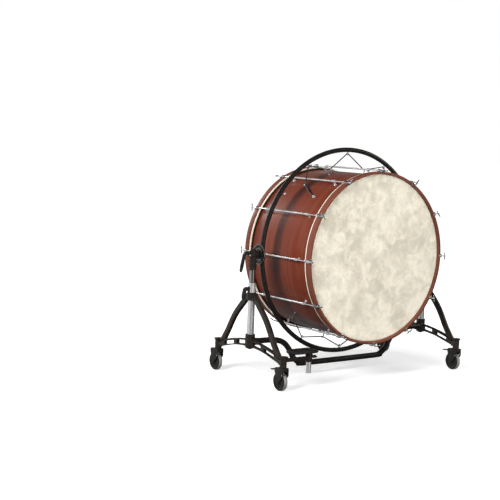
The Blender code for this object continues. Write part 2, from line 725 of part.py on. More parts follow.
def add_towers(assembly):
    for side, sign in (("left", -1), ("right", 1)):
        add_foot(assembly, side, sign)
        add_legs(assembly, side, sign)
        add_column(assembly, side, sign)
        add_mast(assembly, side, sign)
        add_levers(assembly, side, sign)
        for end, post_y in (("front", -POST_Y), ("rear", POST_Y)):
            add_caster(assembly, side, end, sign * TOWER_X, post_y)
        add_brake_pedal(assembly, side, sign * TOWER_X)


def stadium(length, width, corner, steps=4):
    """Rectangle outline with round corners, about the origin."""
    centres = [(1, 1, 0), (-1, 1, 90), (-1, -1, 180), (1, -1, 270)]
    outline = []
    for across, along, start in centres:
        for k in range(steps + 1):
            turn = math.radians(start + 90 * k / steps)
            x = across * (length / 2 - corner) + corner * math.cos(turn)
            outline.append((x, along * (width / 2 - corner) + corner * math.sin(turn)))
    return outline


def add_footrest(assembly):
    place = shift(FOOTREST_X, FOOTREST_Y, 0)
    arm_start = POST_RADIUS - TOWER_X + 0.0004
    arm = block((arm_start, FOOTREST_Y - 0.017, 0.153), (FOOTREST_X, FOOTREST_Y + 0.005, 0.172))
    sleeve = moved(rod(0.0185, 0.141, 0.185), place)
    bore = moved(rod(FOOTREST_POST_RADIUS + 0.0004, 0.13, 0.20), place)
    bracket = cut(joined(arm, sleeve), bore)
    assembly.part("footrest_bracket", bracket, "black_paint", "stand")
    post = rod(FOOTREST_POST_RADIUS, FOOTREST_POST_BOTTOM, FOOTREST_PLATE_BOTTOM - GAP)
    assembly.part("footrest_post", moved(post, place), "chrome", "footrest")
    plate = prism(stadium(0.180, 0.090, 0.035), FOOTREST_PLATE_BOTTOM, FOOTREST_PLATE_TOP)
    plate = moved(plate, shift(FOOTREST_X - 0.045, FOOTREST_Y, 0))
    assembly.part("footrest_plate", plate, "black_plastic", "footrest")
    screw = moved(rod(0.0045, 0.0185 + GAP, 0.034, 10), Z_TO_X)
    wings = block((0.034 - 0.004, -0.016, -0.005), (0.046, 0.016, 0.005))
    knob = moved(joined(screw, wings), shift(FOOTREST_X, FOOTREST_Y, FOOTREST_KNOB_HEIGHT))
    assembly.part("footrest_wing_knob", knob, "black_plastic", "footrest_knob")


def build():
    clear_scene()
    assembly = Assembly(make_finishes())
    add_bodies(assembly)
    add_towers(assembly)
    add_base_tube(assembly)
    add_footrest(assembly)
    add_ring(assembly)
    add_pivot_pins(assembly)
    add_shell(assembly)
    add_hoops_and_heads(assembly)
    add_tension_stations(assembly)
    add_cleats(assembly)
    add_cords(assembly)


build()
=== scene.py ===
"""Looks for the concert bass drum: fine surfaces, materials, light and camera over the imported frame."""

import json
import math

import bmesh
import bpy
from mathutils import Matrix, Vector


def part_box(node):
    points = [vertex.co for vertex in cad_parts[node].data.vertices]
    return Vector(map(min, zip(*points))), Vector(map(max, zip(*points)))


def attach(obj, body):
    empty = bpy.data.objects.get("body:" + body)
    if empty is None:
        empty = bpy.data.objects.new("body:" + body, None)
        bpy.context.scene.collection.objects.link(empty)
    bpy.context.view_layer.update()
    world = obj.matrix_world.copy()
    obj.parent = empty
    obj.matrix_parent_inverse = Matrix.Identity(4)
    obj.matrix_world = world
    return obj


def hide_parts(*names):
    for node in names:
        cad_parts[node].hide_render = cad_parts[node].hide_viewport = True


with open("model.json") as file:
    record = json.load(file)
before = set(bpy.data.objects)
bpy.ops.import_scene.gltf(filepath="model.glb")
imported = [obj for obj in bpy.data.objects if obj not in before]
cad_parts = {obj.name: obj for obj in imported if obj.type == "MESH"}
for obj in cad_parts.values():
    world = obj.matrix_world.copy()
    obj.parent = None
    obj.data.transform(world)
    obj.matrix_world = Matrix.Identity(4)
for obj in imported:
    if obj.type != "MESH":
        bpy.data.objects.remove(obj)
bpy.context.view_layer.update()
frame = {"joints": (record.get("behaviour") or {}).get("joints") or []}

# ---- dimensions, in metres and degrees

CAMERA_PLACE = Vector((-4.366, -5.160, 1.380))
CAMERA_FORWARD = Vector((0.58141, 0.80679, -0.10514))
CAMERA_UP = Vector((0.03254, 0.10607, 0.99383))
CAMERA_LENS = 86.64
CAMERA_SENSOR = 36.0

# Shapes are laid out from the drum's middle; the frame's origin lies this far behind it.
BEHIND = Vector((0, 0.017, 0))


def low(node):
    return Vector(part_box(node)[0]) + BEHIND


def high(node):
    return Vector(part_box(node)[1]) + BEHIND


def centre(node):
    return (low(node) + high(node)) / 2


def size(node):
    return high(node) - low(node)


AXES = {joint["name"]: Vector(joint["pos_m"]) + BEHIND for joint in frame["joints"]}
PIVOT = AXES["drum_tilt"]
DRUM = centre("front_hoop")
HOOP_RADIUS = size("front_hoop").x / 2
HOOP_WALL = 0.0135
HOOP_FACE = high("rear_hoop").y
HOOP_BACK = low("rear_hoop").y
SHELL_RADIUS = size("shell").x / 2
SHELL_HALF = size("shell").y / 2
FLESH_RADIUS = size("front_flesh_hoop").x / 2
HEAD_FRONT = high("rear_head").y

GAP = 0.0003
SHELL_FACE = SHELL_RADIUS + GAP
ROD_RADIUS = 0.478
LUG_POST_Y = 0.18
T_BAR_Y = 0.318
T_BAR_LENGTH = 0.040
RING_TUBE = 0.0128
RING_RADIUS = 0.566
RING_CORD = 0.543
DISC_START = 0.5822
DISC_RADIUS = 0.0540
SHELL_CORD = 0.485
CORD_RADIUS = 0.0032
CORD_END = 0.4845
CORD_END_TURN = 0.45
HOOK_ANGLES = (-165, -135, -15, 15, 135, 165)
EYE_ANGLES = (-150, -30, 0, 30, 150, 180)
CLEAT_ANGLE = 37.5
CLEAT_FOOT_ANGLE = 44.5
STATION_ANGLES = range(0, 360, 30)
BIG_CIRCLE = 288     # segments of the hoops and the ring
SHELL_CIRCLE = 240   # segments of the shell and the heads
FLESH_CREAM = {"front": 0.0087, "rear": 0.0070}
# Painted shade band round the shell's middle, for the suspension ring's shadow and dark reflection: its place
# along the axis and its half width.
RING_SHADE_MIDDLE = 0.003
RING_SHADE_HALF_WIDTH = 0.045

TOWER_X = 0.626
LEG_HALF_WIDTH = 0.017
POST_Y = 0.300
CLAMP_BOTTOM = 0.437
CLAMP_TOP = 0.480
HEAD_INNER = 0.5965
HEAD_OUTER = 0.648
TUBE_Z = 0.215
WHEEL_RADIUS = 0.050
TRAIL = 0.019
AXLE_BOSS = 0.012
PEDAL_SLOPE = -7
FLOOR_SIZE = 30
FLOOR_DROP = 0.0006
FLOOR_FADE = 2.6
LIT_MIDDLE = Vector((0, 0, 0.6))

# Turn of each T-bar about its rod, in degrees from the radial direction: front end, rear end.
T_BAR_TURNS = {
    0: (90, 80), 30: (10, 60), 60: (80, 40), 90: (90, 20), 120: (50, 70), 150: (90, 90),
    180: (90, 90), 210: (90, 90), 240: (30, 60), 270: (80, 85), 300: (20, 60), 330: (60, 120),
}

Z_TO_X = Matrix.Rotation(math.pi / 2, 4, "Y")
Z_TO_Y = Matrix.Rotation(-math.pi / 2, 4, "X")
XY_TO_YZ = Matrix(((0, 0, 1), (1, 0, 0), (0, 1, 0))).to_4x4()


# ---- mesh tools

def shift(x, y, z):
    return Matrix.Translation((x, y, z))


def about_y(degrees):
    return Matrix.Rotation(math.radians(degrees), 4, "Y")


def moved(mesh, *matrices):
    for matrix in matrices:
        mesh.transform(matrix)
    return mesh


def placed(meshes, x, y=0.0, z=0.0):
    return [moved(mesh, shift(x, y, z)) for mesh in meshes]


def along_x(mesh, x=0.0, y=0.0, z=0.0):
    """Lays a body made about Z along X, through the given point."""
    return moved(mesh, Z_TO_X, shift(x, y, z))


def along_y(mesh, x=0.0, y=0.0, z=0.0):
    """Lays a body made about Z along Y, through the given point."""
    return moved(mesh, Z_TO_Y, shift(x, y, z))


def round_drum(meshes, degrees, axis=DRUM):
    """Turns bodies made at the top of a circle to their angle round it."""
    return [moved(mesh, about_y(degrees), shift(0, 0, axis.z)) for mesh in meshes]


def mesh_from(build):
    bmesh.ops.recalc_face_normals(build, faces=build.faces)
    mesh = bpy.data.meshes.new("shape")
    build.to_mesh(mesh)
    build.free()
    return mesh


def rounded(points, radius, steps=4, closed=True):
    """The outline with its corners rounded off; points may be 2-D or 3-D."""
    points = [Vector(point) for point in points]
    count = len(points)
    path = []
    for k, corner in enumerate(points):
        if not closed and k in (0, count - 1):
            path.append(corner)
            continue
        to_before = points[k - 1] - corner
        to_after = points[(k + 1) % count] - corner
        cut = min(radius, to_before.length * 0.45, to_after.length * 0.45)
        start = corner + to_before.normalized() * cut
        end = corner + to_after.normalized() * cut
        for step in range(steps + 1):
            t = step / steps
            path.append(start * (1 - t) ** 2 + corner * 2 * t * (1 - t) + end * t ** 2)
    return path


def smooth_path(points, steps=8):
    """Catmull-Rom curve through the points."""
    knots = [Vector(point) for point in points]
    knots = [2 * knots[0] - knots[1], *knots, 2 * knots[-1] - knots[-2]]
    path = []
    for before, start, end, after in zip(knots, knots[1:], knots[2:], knots[3:]):
        for step in range(steps):
            t = step / steps
            square = (2 * before - 5 * start + 4 * end - after) * t ** 2
            cube = (3 * start - before - 3 * end + after) * t ** 3
            path.append(0.5 * (2 * start + (end - before) * t + square + cube))
    path.append(knots[-2])
    return path


def lathe(profile, segments=48, radius=0.0, steps=3):
    """Body of revolution about Z from (radius, height) points, with its profile's corners rounded.
    The profile starts and ends on the axis, or else is a closed loop clear of it."""
    on_axis = abs(profile[0][0]) < 1e-9
    if radius:
        profile = rounded(profile, radius, steps, closed=not on_axis)
    build = bmesh.new()
    points = [build.verts.new((point[0], 0, point[1])) for point in profile]
    edges = [build.edges.new(pair) for pair in zip(points, points[1:])]
    if not on_axis:
        edges.append(build.edges.new((points[-1], points[0])))
    bmesh.ops.spin(
        build, geom=points + edges, axis=(0, 0, 1), cent=(0, 0, 0),
        angle=math.tau, steps=segments, use_merge=True,
    )
    bmesh.ops.remove_doubles(build, verts=build.verts, dist=1e-6)
    return mesh_from(build)


def rod(radius, start, end, edge=0.0005, segments=24):
    return lathe([(0, start), (radius, start), (radius, end), (0, end)], segments, edge, 2)


def sleeve(inner, outer, start, end, segments, edge, steps=3):
    """Round tube about Z."""
    return lathe([(inner, start), (outer, start), (outer, end), (inner, end)], segments, edge, steps)


def mirrored(profile):
    """The profile, followed by its mirror image across height 0."""
    return profile + [(radius, -height) for radius, height in reversed(profile) if height]


def in_scene(name, data):
    item = bpy.data.objects.new(name, data)
    bpy.context.scene.collection.objects.link(item)
    return item


def baked(guide):
    """Clean mesh of a curve as it is evaluated."""
    item = in_scene("guide", guide)
    graph = bpy.context.evaluated_depsgraph_get()
    mesh = bpy.data.meshes.new_from_object(item.evaluated_get(graph))
    bpy.data.objects.remove(item, do_unlink=True)
    build = bmesh.new()
    build.from_mesh(mesh)
    bmesh.ops.remove_doubles(build, verts=build.verts, dist=1e-6)
    return mesh_from(build)


def plate(outlines, thickness, edge=0.002, steps=3):
    """Flat plate in XY with rounded edges; outlines after the first are holes."""
    curve = bpy.data.curves.new("plate", "CURVE")
    curve.dimensions = "2D"
    curve.fill_mode = "BOTH"
    curve.extrude = thickness / 2 - edge
    curve.bevel_depth = edge
    curve.bevel_resolution = steps
    curve.offset = -edge
    for outline in outlines:
        spline = curve.splines.new("POLY")
        spline.points.add(len(outline) - 1)
        spline.use_cyclic_u = True
        for point, place in zip(spline.points, outline):
            point.co = (place[0], place[1], 0, 1)
    return baked(curve)


def side_plate(outlines, middle, thickness, edge=0.002):
    """A plate whose outlines lie in YZ, about the given X."""
    return moved(plate(outlines, thickness, edge), XY_TO_YZ, shift(middle, 0, 0))


def block(first, second, edge=0.002, steps=3):
    """Box between two opposite corners, with rounded edges."""
    lowest = Vector(map(min, first, second))
    highest = Vector(map(max, first, second))
    build = bmesh.new()
    bmesh.ops.create_cube(build, size=1)
    for vert in build.verts:
        for k in range(3):
            vert.co[k] = highest[k] if vert.co[k] > 0 else lowest[k]
    bmesh.ops.bevel(build, geom=list(build.edges), offset=edge, segments=steps, affect="EDGES", profile=0.5)
    return mesh_from(build)


def spokes(count, offset, *shape):
    """Blocks of one shape, spaced evenly about Z; the offset is a share of one step."""
    turns = [Matrix.Rotation(math.tau * (k + offset) / count, 4, "Z") for k in range(count)]
    return [moved(block(*shape), turn) for turn in turns]


def circle(radius, count, middle=0.0):
    """Points of a circle about (middle, 0)."""
    turns = [math.tau * k / count for k in range(count)]
    return [(middle + radius * math.cos(turn), radius * math.sin(turn)) for turn in turns]


def swept(points, radius, sides=16, tapers=None):
    """Round bar along a path; tapers scale the radius at each point."""
    curve = bpy.data.curves.new("path", "CURVE")
    curve.dimensions = "3D"
    curve.bevel_depth = radius
    curve.bevel_resolution = sides // 2 - 2
    curve.use_fill_caps = True
    spline = curve.splines.new("POLY")
    spline.points.add(len(points) - 1)
    for point, place, taper in zip(spline.points, points, tapers or [1] * len(points)):
        point.co = (*place, 1)
        point.radius = taper
    return baked(curve)


def ball(place, radius):
    build = bmesh.new()
    bmesh.ops.create_uvsphere(build, u_segments=16, v_segments=8, radius=radius)
    return moved(mesh_from(build), shift(*place))


def sideways(profile, sign, height, segments, edge, steps=3):
    """Body of revolution about a line along X, on one side of the middle: (radius, distance) points."""
    return along_x(lathe([(radius, sign * x) for radius, x in profile], segments, edge, steps), 0, 0, height)


def hex_head(radius, start, end):
    """Hexagonal bolt head about Z."""
    height = abs(end - start)
    return moved(plate([circle(radius, 6)], height, height * 0.18), shift(0, 0, (start + end) / 2))


def ring_of(radius, tube, segments=48, sides=16):
    """Torus about Z."""
    return lathe(circle(tube, sides, radius), segments)


def eased(taper_pairs, count):
    """Tapers for a path of count points, from (position 0 to 1, taper) pairs."""
    tapers = []
    for k in range(count):
        t = k / (count - 1)
        for (start, first), (end, last) in zip(taper_pairs, taper_pairs[1:]):
            if t <= end:
                blend = (t - start) / (end - start)
                tapers.append(first + (last - first) * blend * blend * (3 - 2 * blend))
                break
    return tapers


def polar(radius, degrees, y=0.0, axis=DRUM):
    turn = math.radians(degrees)
    return Vector((axis.x + radius * math.sin(turn), y, axis.z + radius * math.cos(turn)))


def piece(name, meshes, look, body, *nodes, sharp=40):
    """Makes one visible piece from several meshes, riding on its body in place of CAD nodes."""
    material, slot = look
    build = bmesh.new()
    for mesh in meshes:
        build.from_mesh(mesh)
        bpy.data.meshes.remove(mesh)
    mesh = bpy.data.meshes.new(name)
    build.to_mesh(mesh)
    build.free()
    mesh.transform(Matrix.Translation(-BEHIND))
    mesh.materials.append(material)
    mesh.shade_smooth()
    mesh.set_sharp_from_angle(angle=math.radians(sharp))
    item = in_scene(name, mesh)
    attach(item, body)
    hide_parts(*nodes)


# ---- materials

class Graph:
    """Short calls for building the nodes of a material or of the world."""

    def __init__(self, tree):
        self.tree = tree

    def feed(self, socket, value):
        """Links an output to the socket, or sets the socket's own number, vector or colour."""
        if isinstance(value, bpy.types.NodeSocket):
            self.tree.links.new(value, socket)
        else:
            socket.default_value = (*value, 1) if isinstance(value, tuple) else value

    def node(self, kind, output, inputs, **settings):
        """Adds a node with its settings, feeds its inputs, and gives back one of its outputs."""
        node = self.tree.nodes.new("ShaderNode" + kind)
        for key, value in settings.items():
            setattr(node, key, value)
        for key, value in inputs.items():
            self.feed(node.inputs[key], value)
        return node.outputs[output]

    def math(self, operation, *values):
        return self.node("Math", 0, dict(enumerate(values)), operation=operation)

    def ramp(self, source, stops):
        """Colour ramp through (position, grey or colour) stops."""
        node = self.tree.nodes.new("ShaderNodeValToRGB")
        elements = node.color_ramp.elements
        while len(elements) < len(stops):
            elements.new(0.5)
        for element, (position, value) in zip(elements, stops):
            colour = value if isinstance(value, tuple) else (value, value, value)
            element.position = position
            element.color = (*colour, 1)
        self.feed(node.inputs["Fac"], source)
        return node.outputs["Color"]

    def mix(self, factor, first, second, mode="MIX"):
        return self.node("Mix", 2, {0: factor, 6: first, 7: second}, data_type="RGBA", blend_type=mode)


class Look(Graph):
    """The nodes of one material, round its Principled shader."""

    def __init__(self, name):
        self.material = bpy.data.materials.new(name)
        self.material.use_nodes = True
        super().__init__(self.material.node_tree)
        self.shader = self.tree.nodes["Principled BSDF"]
        self.place = self.node("TexCoord", "Object", {})

    def scaled(self, x, y, z):
        return self.node("Mapping", "Vector", {"Vector": self.place, "Scale": Vector((x, y, z))})

    def noise(self, scale, detail, roughness, where=None, distortion=0.0):
        return self.node("TexNoise", "Fac", {
            "Vector": where or self.place, "Scale": scale, "Detail": detail,
            "Roughness": roughness, "Distortion": distortion,
        })

    def stripe(self, middle, half_width, strength):
        """Soft stripe round the drum at one place along its axis."""
        along = self.node("SeparateXYZ", "Y", {"Vector": self.place})
        away = self.math("ABSOLUTE", self.math("SUBTRACT", along, middle))
        return self.ramp(self.math("DIVIDE", away, half_width), [(0.35, strength), (1.0, 0.0)])

    def bump(self, height, strength, distance, **after):
        inputs = {"Height": height, "Strength": strength, "Distance": distance, **after}
        return self.node("Bump", "Normal", inputs)

    def finish(self, colour, roughness, normal=None, **values):
        """Feeds the shader and gives back the material. A _ in a value's name stands for a space."""
        values.update(Base_Color=colour, Roughness=roughness)
        if normal:
            values["Normal"] = normal
        for key, value in values.items():
            self.feed(self.shader.inputs[key.replace("_", " ")], value)
        return self.material


def black_paint(name, base, rubbed):
    """Satin black powder coat with a faint orange-peel skin and dusty rubs."""
    g = Look(name)
    cloud = g.noise(9, 4, 0.6)
    rub = g.noise(38, 6, 0.65)
    colour = g.mix(g.ramp(rub, [(0.48, 0.0), (0.78, 0.6)]), base, rubbed)
    roughness = g.ramp(cloud, [(0.3, 0.28), (0.7, 0.42)])
    normal = g.bump(g.noise(900, 2, 0.5), 0.12, 0.0004)
    return g.finish(colour, roughness, normal, Specular_IOR_Level=0.32, Coat_Weight=0.1, Coat_Roughness=0.2)


def chrome(name, bright, dull, metallic, smooth, hazy):
    """Chrome with fine handling marks. Bright and dull are its greys, smooth and hazy its roughness."""
    g = Look(name)
    haze = g.noise(46, 5, 0.6)
    scratch = g.noise(420, 2, 0.5, g.scaled(1, 0.12, 1))
    colour = g.mix(g.ramp(haze, [(0.35, 0.0), (0.8, 1.0)]), (bright,) * 3, (dull,) * 3)
    roughness = g.ramp(haze, [(0.3, smooth), (0.75, hazy)])
    return g.finish(colour, roughness, g.bump(scratch, 0.02, 0.0003), Metallic=metallic)


def mahogany(name, base, dark, light, streak_scale, gloss, ring_shade=0.0):
    """Red-brown lacquered wood whose grain runs round the drum, so it varies fast along the axis.
    A band of painted shade, standing for the suspension ring's shadow and dark reflection, darkens the wood
    round the drum's middle."""
    g = Look(name)
    bands = g.noise(1.0, 5, 0.62, g.scaled(1.3, streak_scale, 1.3), 0.2)
    fibres = g.noise(1.0, 4, 0.6, g.scaled(9, streak_scale * 8, 9))
    pores = g.noise(1.0, 2, 0.5, g.scaled(30, streak_scale * 24, 30))
    cloud = g.noise(3.1, 3, 0.5)
    pore = (dark[0] * 0.45, dark[1] * 0.4, dark[2] * 0.4)
    tone = g.ramp(bands, [(0.30, dark), (0.50, base), (0.70, light)])
    fine = g.mix(1.0, tone, (0.66, 0.56, 0.54), "MULTIPLY")
    tone = g.mix(g.ramp(fibres, [(0.42, 0.0), (0.62, 0.45)]), tone, fine)
    tone = g.mix(g.ramp(pores, [(0.60, 0.0), (0.72, 0.45)]), tone, pore)
    tone = g.mix(g.ramp(cloud, [(0.4, 0.0), (0.75, 0.35)]), tone, light)
    # Painted shade: a dark band round the middle stands for the suspension ring's shadow and dark reflection.
    if ring_shade:
        shaded = g.mix(1.0, tone, (0.42, 0.42, 0.50), "MULTIPLY")
        tone = g.mix(g.stripe(RING_SHADE_MIDDLE, RING_SHADE_HALF_WIDTH, ring_shade), tone, shaded)
    roughness = g.ramp(fibres, [(0.3, gloss), (0.7, gloss + 0.10)])
    return g.finish(
        tone, roughness, g.bump(fibres, 0.05, 0.0006),
        Coat_Weight=0.25, Coat_Roughness=0.10, Coat_IOR=1.45, Specular_IOR_Level=0.15,
    )


def head_film():
    """Cream film with cloudy, skin-like mottling and short fibres."""
    g = Look("mottled_head_film")
    cloud = g.noise(5.0, 6, 0.62, None, 0.5)
    patch = g.noise(15, 5, 0.62, None, 0.5)
    fleck = g.noise(46, 4, 0.6, None, 0.3)
    fibre = g.noise(1.0, 4, 0.6, g.scaled(55, 55, 210), 1.0)
    dull, middle, bright = (0.56, 0.505, 0.405), (0.70, 0.64, 0.52), (0.82, 0.76, 0.625)
    tone = g.ramp(cloud, [(0.34, dull), (0.5, middle), (0.66, bright)])
    tone = g.mix(g.ramp(patch, [(0.46, 0.0), (0.64, 0.70)]), tone, (0.89, 0.825, 0.685))
    tone = g.mix(g.ramp(patch, [(0.28, 0.75), (0.46, 0.0)]), tone, (0.52, 0.49, 0.40))
    tone = g.mix(g.ramp(fleck, [(0.52, 0.0), (0.68, 0.40)]), tone, (0.56, 0.52, 0.41))
    tone = g.mix(g.ramp(fibre, [(0.56, 0.0), (0.70, 0.28)]), tone, (0.58, 0.53, 0.42))
    roughness = g.ramp(patch, [(0.3, 0.46), (0.7, 0.60)])
    normal = g.bump(patch, 0.10, 0.0006, Normal=g.bump(g.noise(650, 2, 0.5), 0.10, 0.0003))
    return g.finish(
        tone, roughness, normal, Subsurface_Weight=0.06, Subsurface_Scale=0.004, Specular_IOR_Level=0.3,
    )


def hoop_cream():
    """Cream lacquered wood of the flesh hoops."""
    g = Look("cream_flesh_hoop")
    streak = g.noise(1.0, 4, 0.6, g.scaled(9, 240, 9))
    tone = g.ramp(streak, [(0.35, (0.76, 0.65, 0.54)), (0.65, (0.88, 0.80, 0.70))])
    return g.finish(tone, g.ramp(streak, [(0.3, 0.30), (0.7, 0.42)]), g.bump(streak, 0.05, 0.0004))


def black_plastic():
    """Moulded black plastic with a fine spark-eroded grain."""
    g = Look("moulded_black_plastic")
    cloud = g.noise(16, 4, 0.6)
    colour = g.ramp(cloud, [(0.3, (0.0085, 0.0080, 0.0078)), (0.75, (0.022, 0.020, 0.019))])
    roughness = g.ramp(cloud, [(0.3, 0.40), (0.7, 0.56)])
    normal = g.bump(g.noise(1400, 2, 0.5), 0.22, 0.0004)
    return g.finish(colour, roughness, normal, Specular_IOR_Level=0.30)


def grey_rubber():
    """Grey non-marking tyre rubber, scuffed on the tread."""
    g = Look("grey_tyre_rubber")
    scuff = g.noise(70, 6, 0.7)
    dark, middle, light = (0.13, 0.13, 0.125), (0.24, 0.24, 0.23), (0.36, 0.36, 0.35)
    colour = g.ramp(scuff, [(0.35, dark), (0.55, middle), (0.8, light)])
    return g.finish(colour, g.ramp(scuff, [(0.3, 0.55), (0.7, 0.75)]), g.bump(scuff, 0.25, 0.0008))


def cord_weave():
    """Black braided elastic cord."""
    g = Look("black_braided_cord")
    inputs = {"Vector": g.place, "Scale": 420, "Distortion": 1.5}
    wave = g.node("TexWave", "Fac", inputs, wave_type="BANDS", bands_direction="DIAGONAL")
    colour = g.mix(wave, (0.008, 0.008, 0.008), (0.035, 0.034, 0.033))
    roughness = g.ramp(wave, [(0.0, 0.7), (1.0, 0.85)])
    return g.finish(colour, roughness, g.bump(wave, 0.5, 0.0006), Sheen_Weight=0.3, Sheen_Roughness=0.5)


def pale_floor():
    """Pale floor that glows more the further out it is, so that it has no edge against the surround."""
    g = Look("pale_studio_floor")
    speck = g.noise(4, 4, 0.5)
    reach = g.node("VectorMath", "Value", {0: g.place}, operation="LENGTH")
    glow = g.ramp(g.math("DIVIDE", reach, FLOOR_FADE), [(0.15, 0.42), (0.75, 1.0)])
    return g.finish(
        g.ramp(speck, [(0.3, 0.84), (0.7, 0.86)]), g.ramp(speck, [(0.3, 0.85), (0.7, 0.9)]),
        Emission_Color=glow, Emission_Strength=1.0, Specular_IOR_Level=0.0,
    )


# Each look is a material and the name of a slot, which the pieces here don't use.
PAINT = black_paint("satin_black_paint", (0.0085, 0.0078, 0.0068), (0.026, 0.024, 0.021)), "black_paint"
CAST_PAINT = (
    black_paint("brownish_black_paint", (0.0155, 0.0118, 0.0095), (0.046, 0.036, 0.029)), "black_paint",
)
CHROME = chrome("polished_chrome", 0.90, 0.76, 1.0, 0.045, 0.13), "chrome"
LUG_CHROME = chrome("satin_lug_chrome", 0.95, 0.80, 0.75, 0.10, 0.22), "chrome"
# The mast's chrome gets a dark grey colour that stands for the dark studio it reflects: painted reflection.
MAST_CHROME_PAINTED_DARK = chrome("shaded_mast_chrome", 0.40, 0.32, 1.0, 0.06, 0.14), "chrome"
# The last number is the strength of the painted ring shade on the shell.
SHELL_WOOD = mahogany(
    "mahogany_shell", (0.165, 0.033, 0.0150), (0.118, 0.022, 0.011), (0.215, 0.050, 0.024), 38, 0.26, 0.85,
), "mahogany"
HOOP_WOOD = mahogany(
    "mahogany_hoop", (0.165, 0.050, 0.029), (0.085, 0.024, 0.015), (0.24, 0.084, 0.050), 90, 0.28,
), "mahogany"
FILM = head_film(), "head_film"
CREAM = hoop_cream(), "hoop_cream"
PLASTIC = black_plastic(), "black_plastic"
TYRE = grey_rubber(), "grey_tyre"
CORD = cord_weave(), "black_cord"


# ---- the drum

def about_drum(mesh, axis=DRUM):
    """Turns a body made about Z so that it lies about the drum's axis."""
    return along_y(mesh, axis.x, 0, axis.z)


def build_shell():
    inner = SHELL_RADIUS - 0.009
    half = [(inner, -SHELL_HALF + 0.003), (inner + 0.004, -SHELL_HALF), (SHELL_RADIUS, -SHELL_HALF + 0.006)]
    piece("drum_shell", [about_drum(lathe(mirrored(half), SHELL_CIRCLE, 0.002))], SHELL_WOOD, "drum", "shell")


def build_hoops_and_heads():
    inner = HOOP_RADIUS - HOOP_WALL
    seat = SHELL_RADIUS + 0.0004
    for end, sign in (("front", -1), ("rear", 1)):
        back = sign * HOOP_BACK
        wood = about_drum(sleeve(inner, HOOP_RADIUS, back, sign * HOOP_FACE, BIG_CIRCLE, 0.0042, 5))
        piece(end + "_counterhoop", [wood], HOOP_WOOD, "drum", end + "_hoop")
        node = end + "_flesh_hoop"
        start = back - sign * GAP
        split = start - sign * FLESH_CREAM[end]
        stop = low(node).y if sign > 0 else high(node).y
        cream = about_drum(sleeve(seat, FLESH_RADIUS, split, start, BIG_CIRCLE, 0.0030, 4))
        piece(end + "_flesh_ring", [cream], CREAM, "drum", node)
        # A black ring behind the cream stands for the shadow gap between the flesh hoop and the shell:
        # painted shade.
        if abs(split - stop) > 0.001:
            dark = about_drum(sleeve(seat, seat + 0.009, stop, split, BIG_CIRCLE, 0.0012))
            piece(end + "_flesh_gap_shade", [dark], PAINT, "drum", node)
        top = HEAD_FRONT
        skin = [
            (0, top - 0.0012), (inner - 0.0105, top - 0.0012), (inner - 0.0042, top - 0.0024),
            (inner - 0.0030, top - 0.0102), (inner - 0.0006, top - 0.0102), (inner - 0.0012, top - 0.0040),
            (inner - 0.0060, top - 0.0008), (inner - 0.0110, top), (0, top),
        ]
        film = about_drum(lathe([(radius, sign * y) for radius, y in skin], SHELL_CIRCLE, 0.0012))
        piece(end + "_drum_head", [film], FILM, "drum", end + "_head", sharp=60)


def lug_post(sign):
    """Standoff between the shell and the lug tube, with its round flange and sleeve."""
    post = lathe([
        (0, SHELL_FACE), (0.0100, SHELL_FACE), (0.0100, SHELL_FACE + 0.0022), (0.0058, SHELL_FACE + 0.006),
        (0.0050, SHELL_FACE + 0.014), (0.0066, SHELL_FACE + 0.019), (0.0066, ROD_RADIUS), (0, ROD_RADIUS),
    ], 24, 0.001, 2)
    collar = along_y(sleeve(0.0045, 0.0074, -0.011, 0.011, 24, 0.0014), 0, 0, ROD_RADIUS)
    return placed([post, collar], 0, sign * LUG_POST_Y)


def claw_hook(sign):
    """Cast claw that hooks over the counterhoop, with the rod's washer and boss."""
    top = HOOP_RADIUS + GAP
    face = HOOP_FACE + GAP
    outline = [
        (face - 0.036, top), (face - 0.036, top + 0.0050), (face - 0.031, top + 0.0112),
        (face - 0.014, top + 0.0118), (face + 0.0015, top + 0.0075), (face + 0.0042, top + 0.001),
        (face + 0.0034, top - 0.0105), (face, top - 0.0115), (face, top),
    ]
    outline = rounded([(sign * y, z) for y, z in outline], 0.002, 3)
    hook = side_plate([outline], 0, 0.0165, 0.0022)
    boss = sleeve(0.0028, 0.0075, -0.010, 0.010, 24, 0.0018)
    washer = sleeve(0.0028, 0.0066, -0.0009, 0.0009, 24, 0.0005, 2)
    boss = along_y(boss, 0, sign * (face - 0.024), ROD_RADIUS)
    return [hook, boss, along_y(washer, 0, sign * (face - 0.0115), ROD_RADIUS)]


def t_handle(sign, turn):
    """Crossbar and hub on the end of a tension rod."""
    half = T_BAR_LENGTH / 2
    bar = lathe(mirrored([
        (0, -half), (0.0032, -half), (0.0038, -half + 0.005), (0.0029, -0.007), (0.0042, 0),
    ]), 20, 0.0012)
    hub = [(0, -0.0045), (0.0044, -0.0045), (0.0044, 0.002), (0, 0.002)]
    hub = along_y(lathe([(radius, -sign * y) for radius, y in hub], 20, 0.0012))
    place = shift(0, sign * T_BAR_Y, ROD_RADIUS)
    return [moved(mesh, about_y(turn), place) for mesh in (bar, hub)]


def tension_rod():
    """Lug tube with its end ferrules, and the two rods that screw into it."""
    tube = LUG_POST_Y + 0.012
    half = [
        (0, -T_BAR_Y), (0.0030, -T_BAR_Y), (0.0030, -tube - 0.003), (0.0042, -tube - 0.003),
        (0.0062, -tube), (0.0062, -tube + 0.010), (0.0050, -tube + 0.012),
    ]
    return along_y(lathe(mirrored(half), 24, 0.0006, 2), 0, 0, ROD_RADIUS)


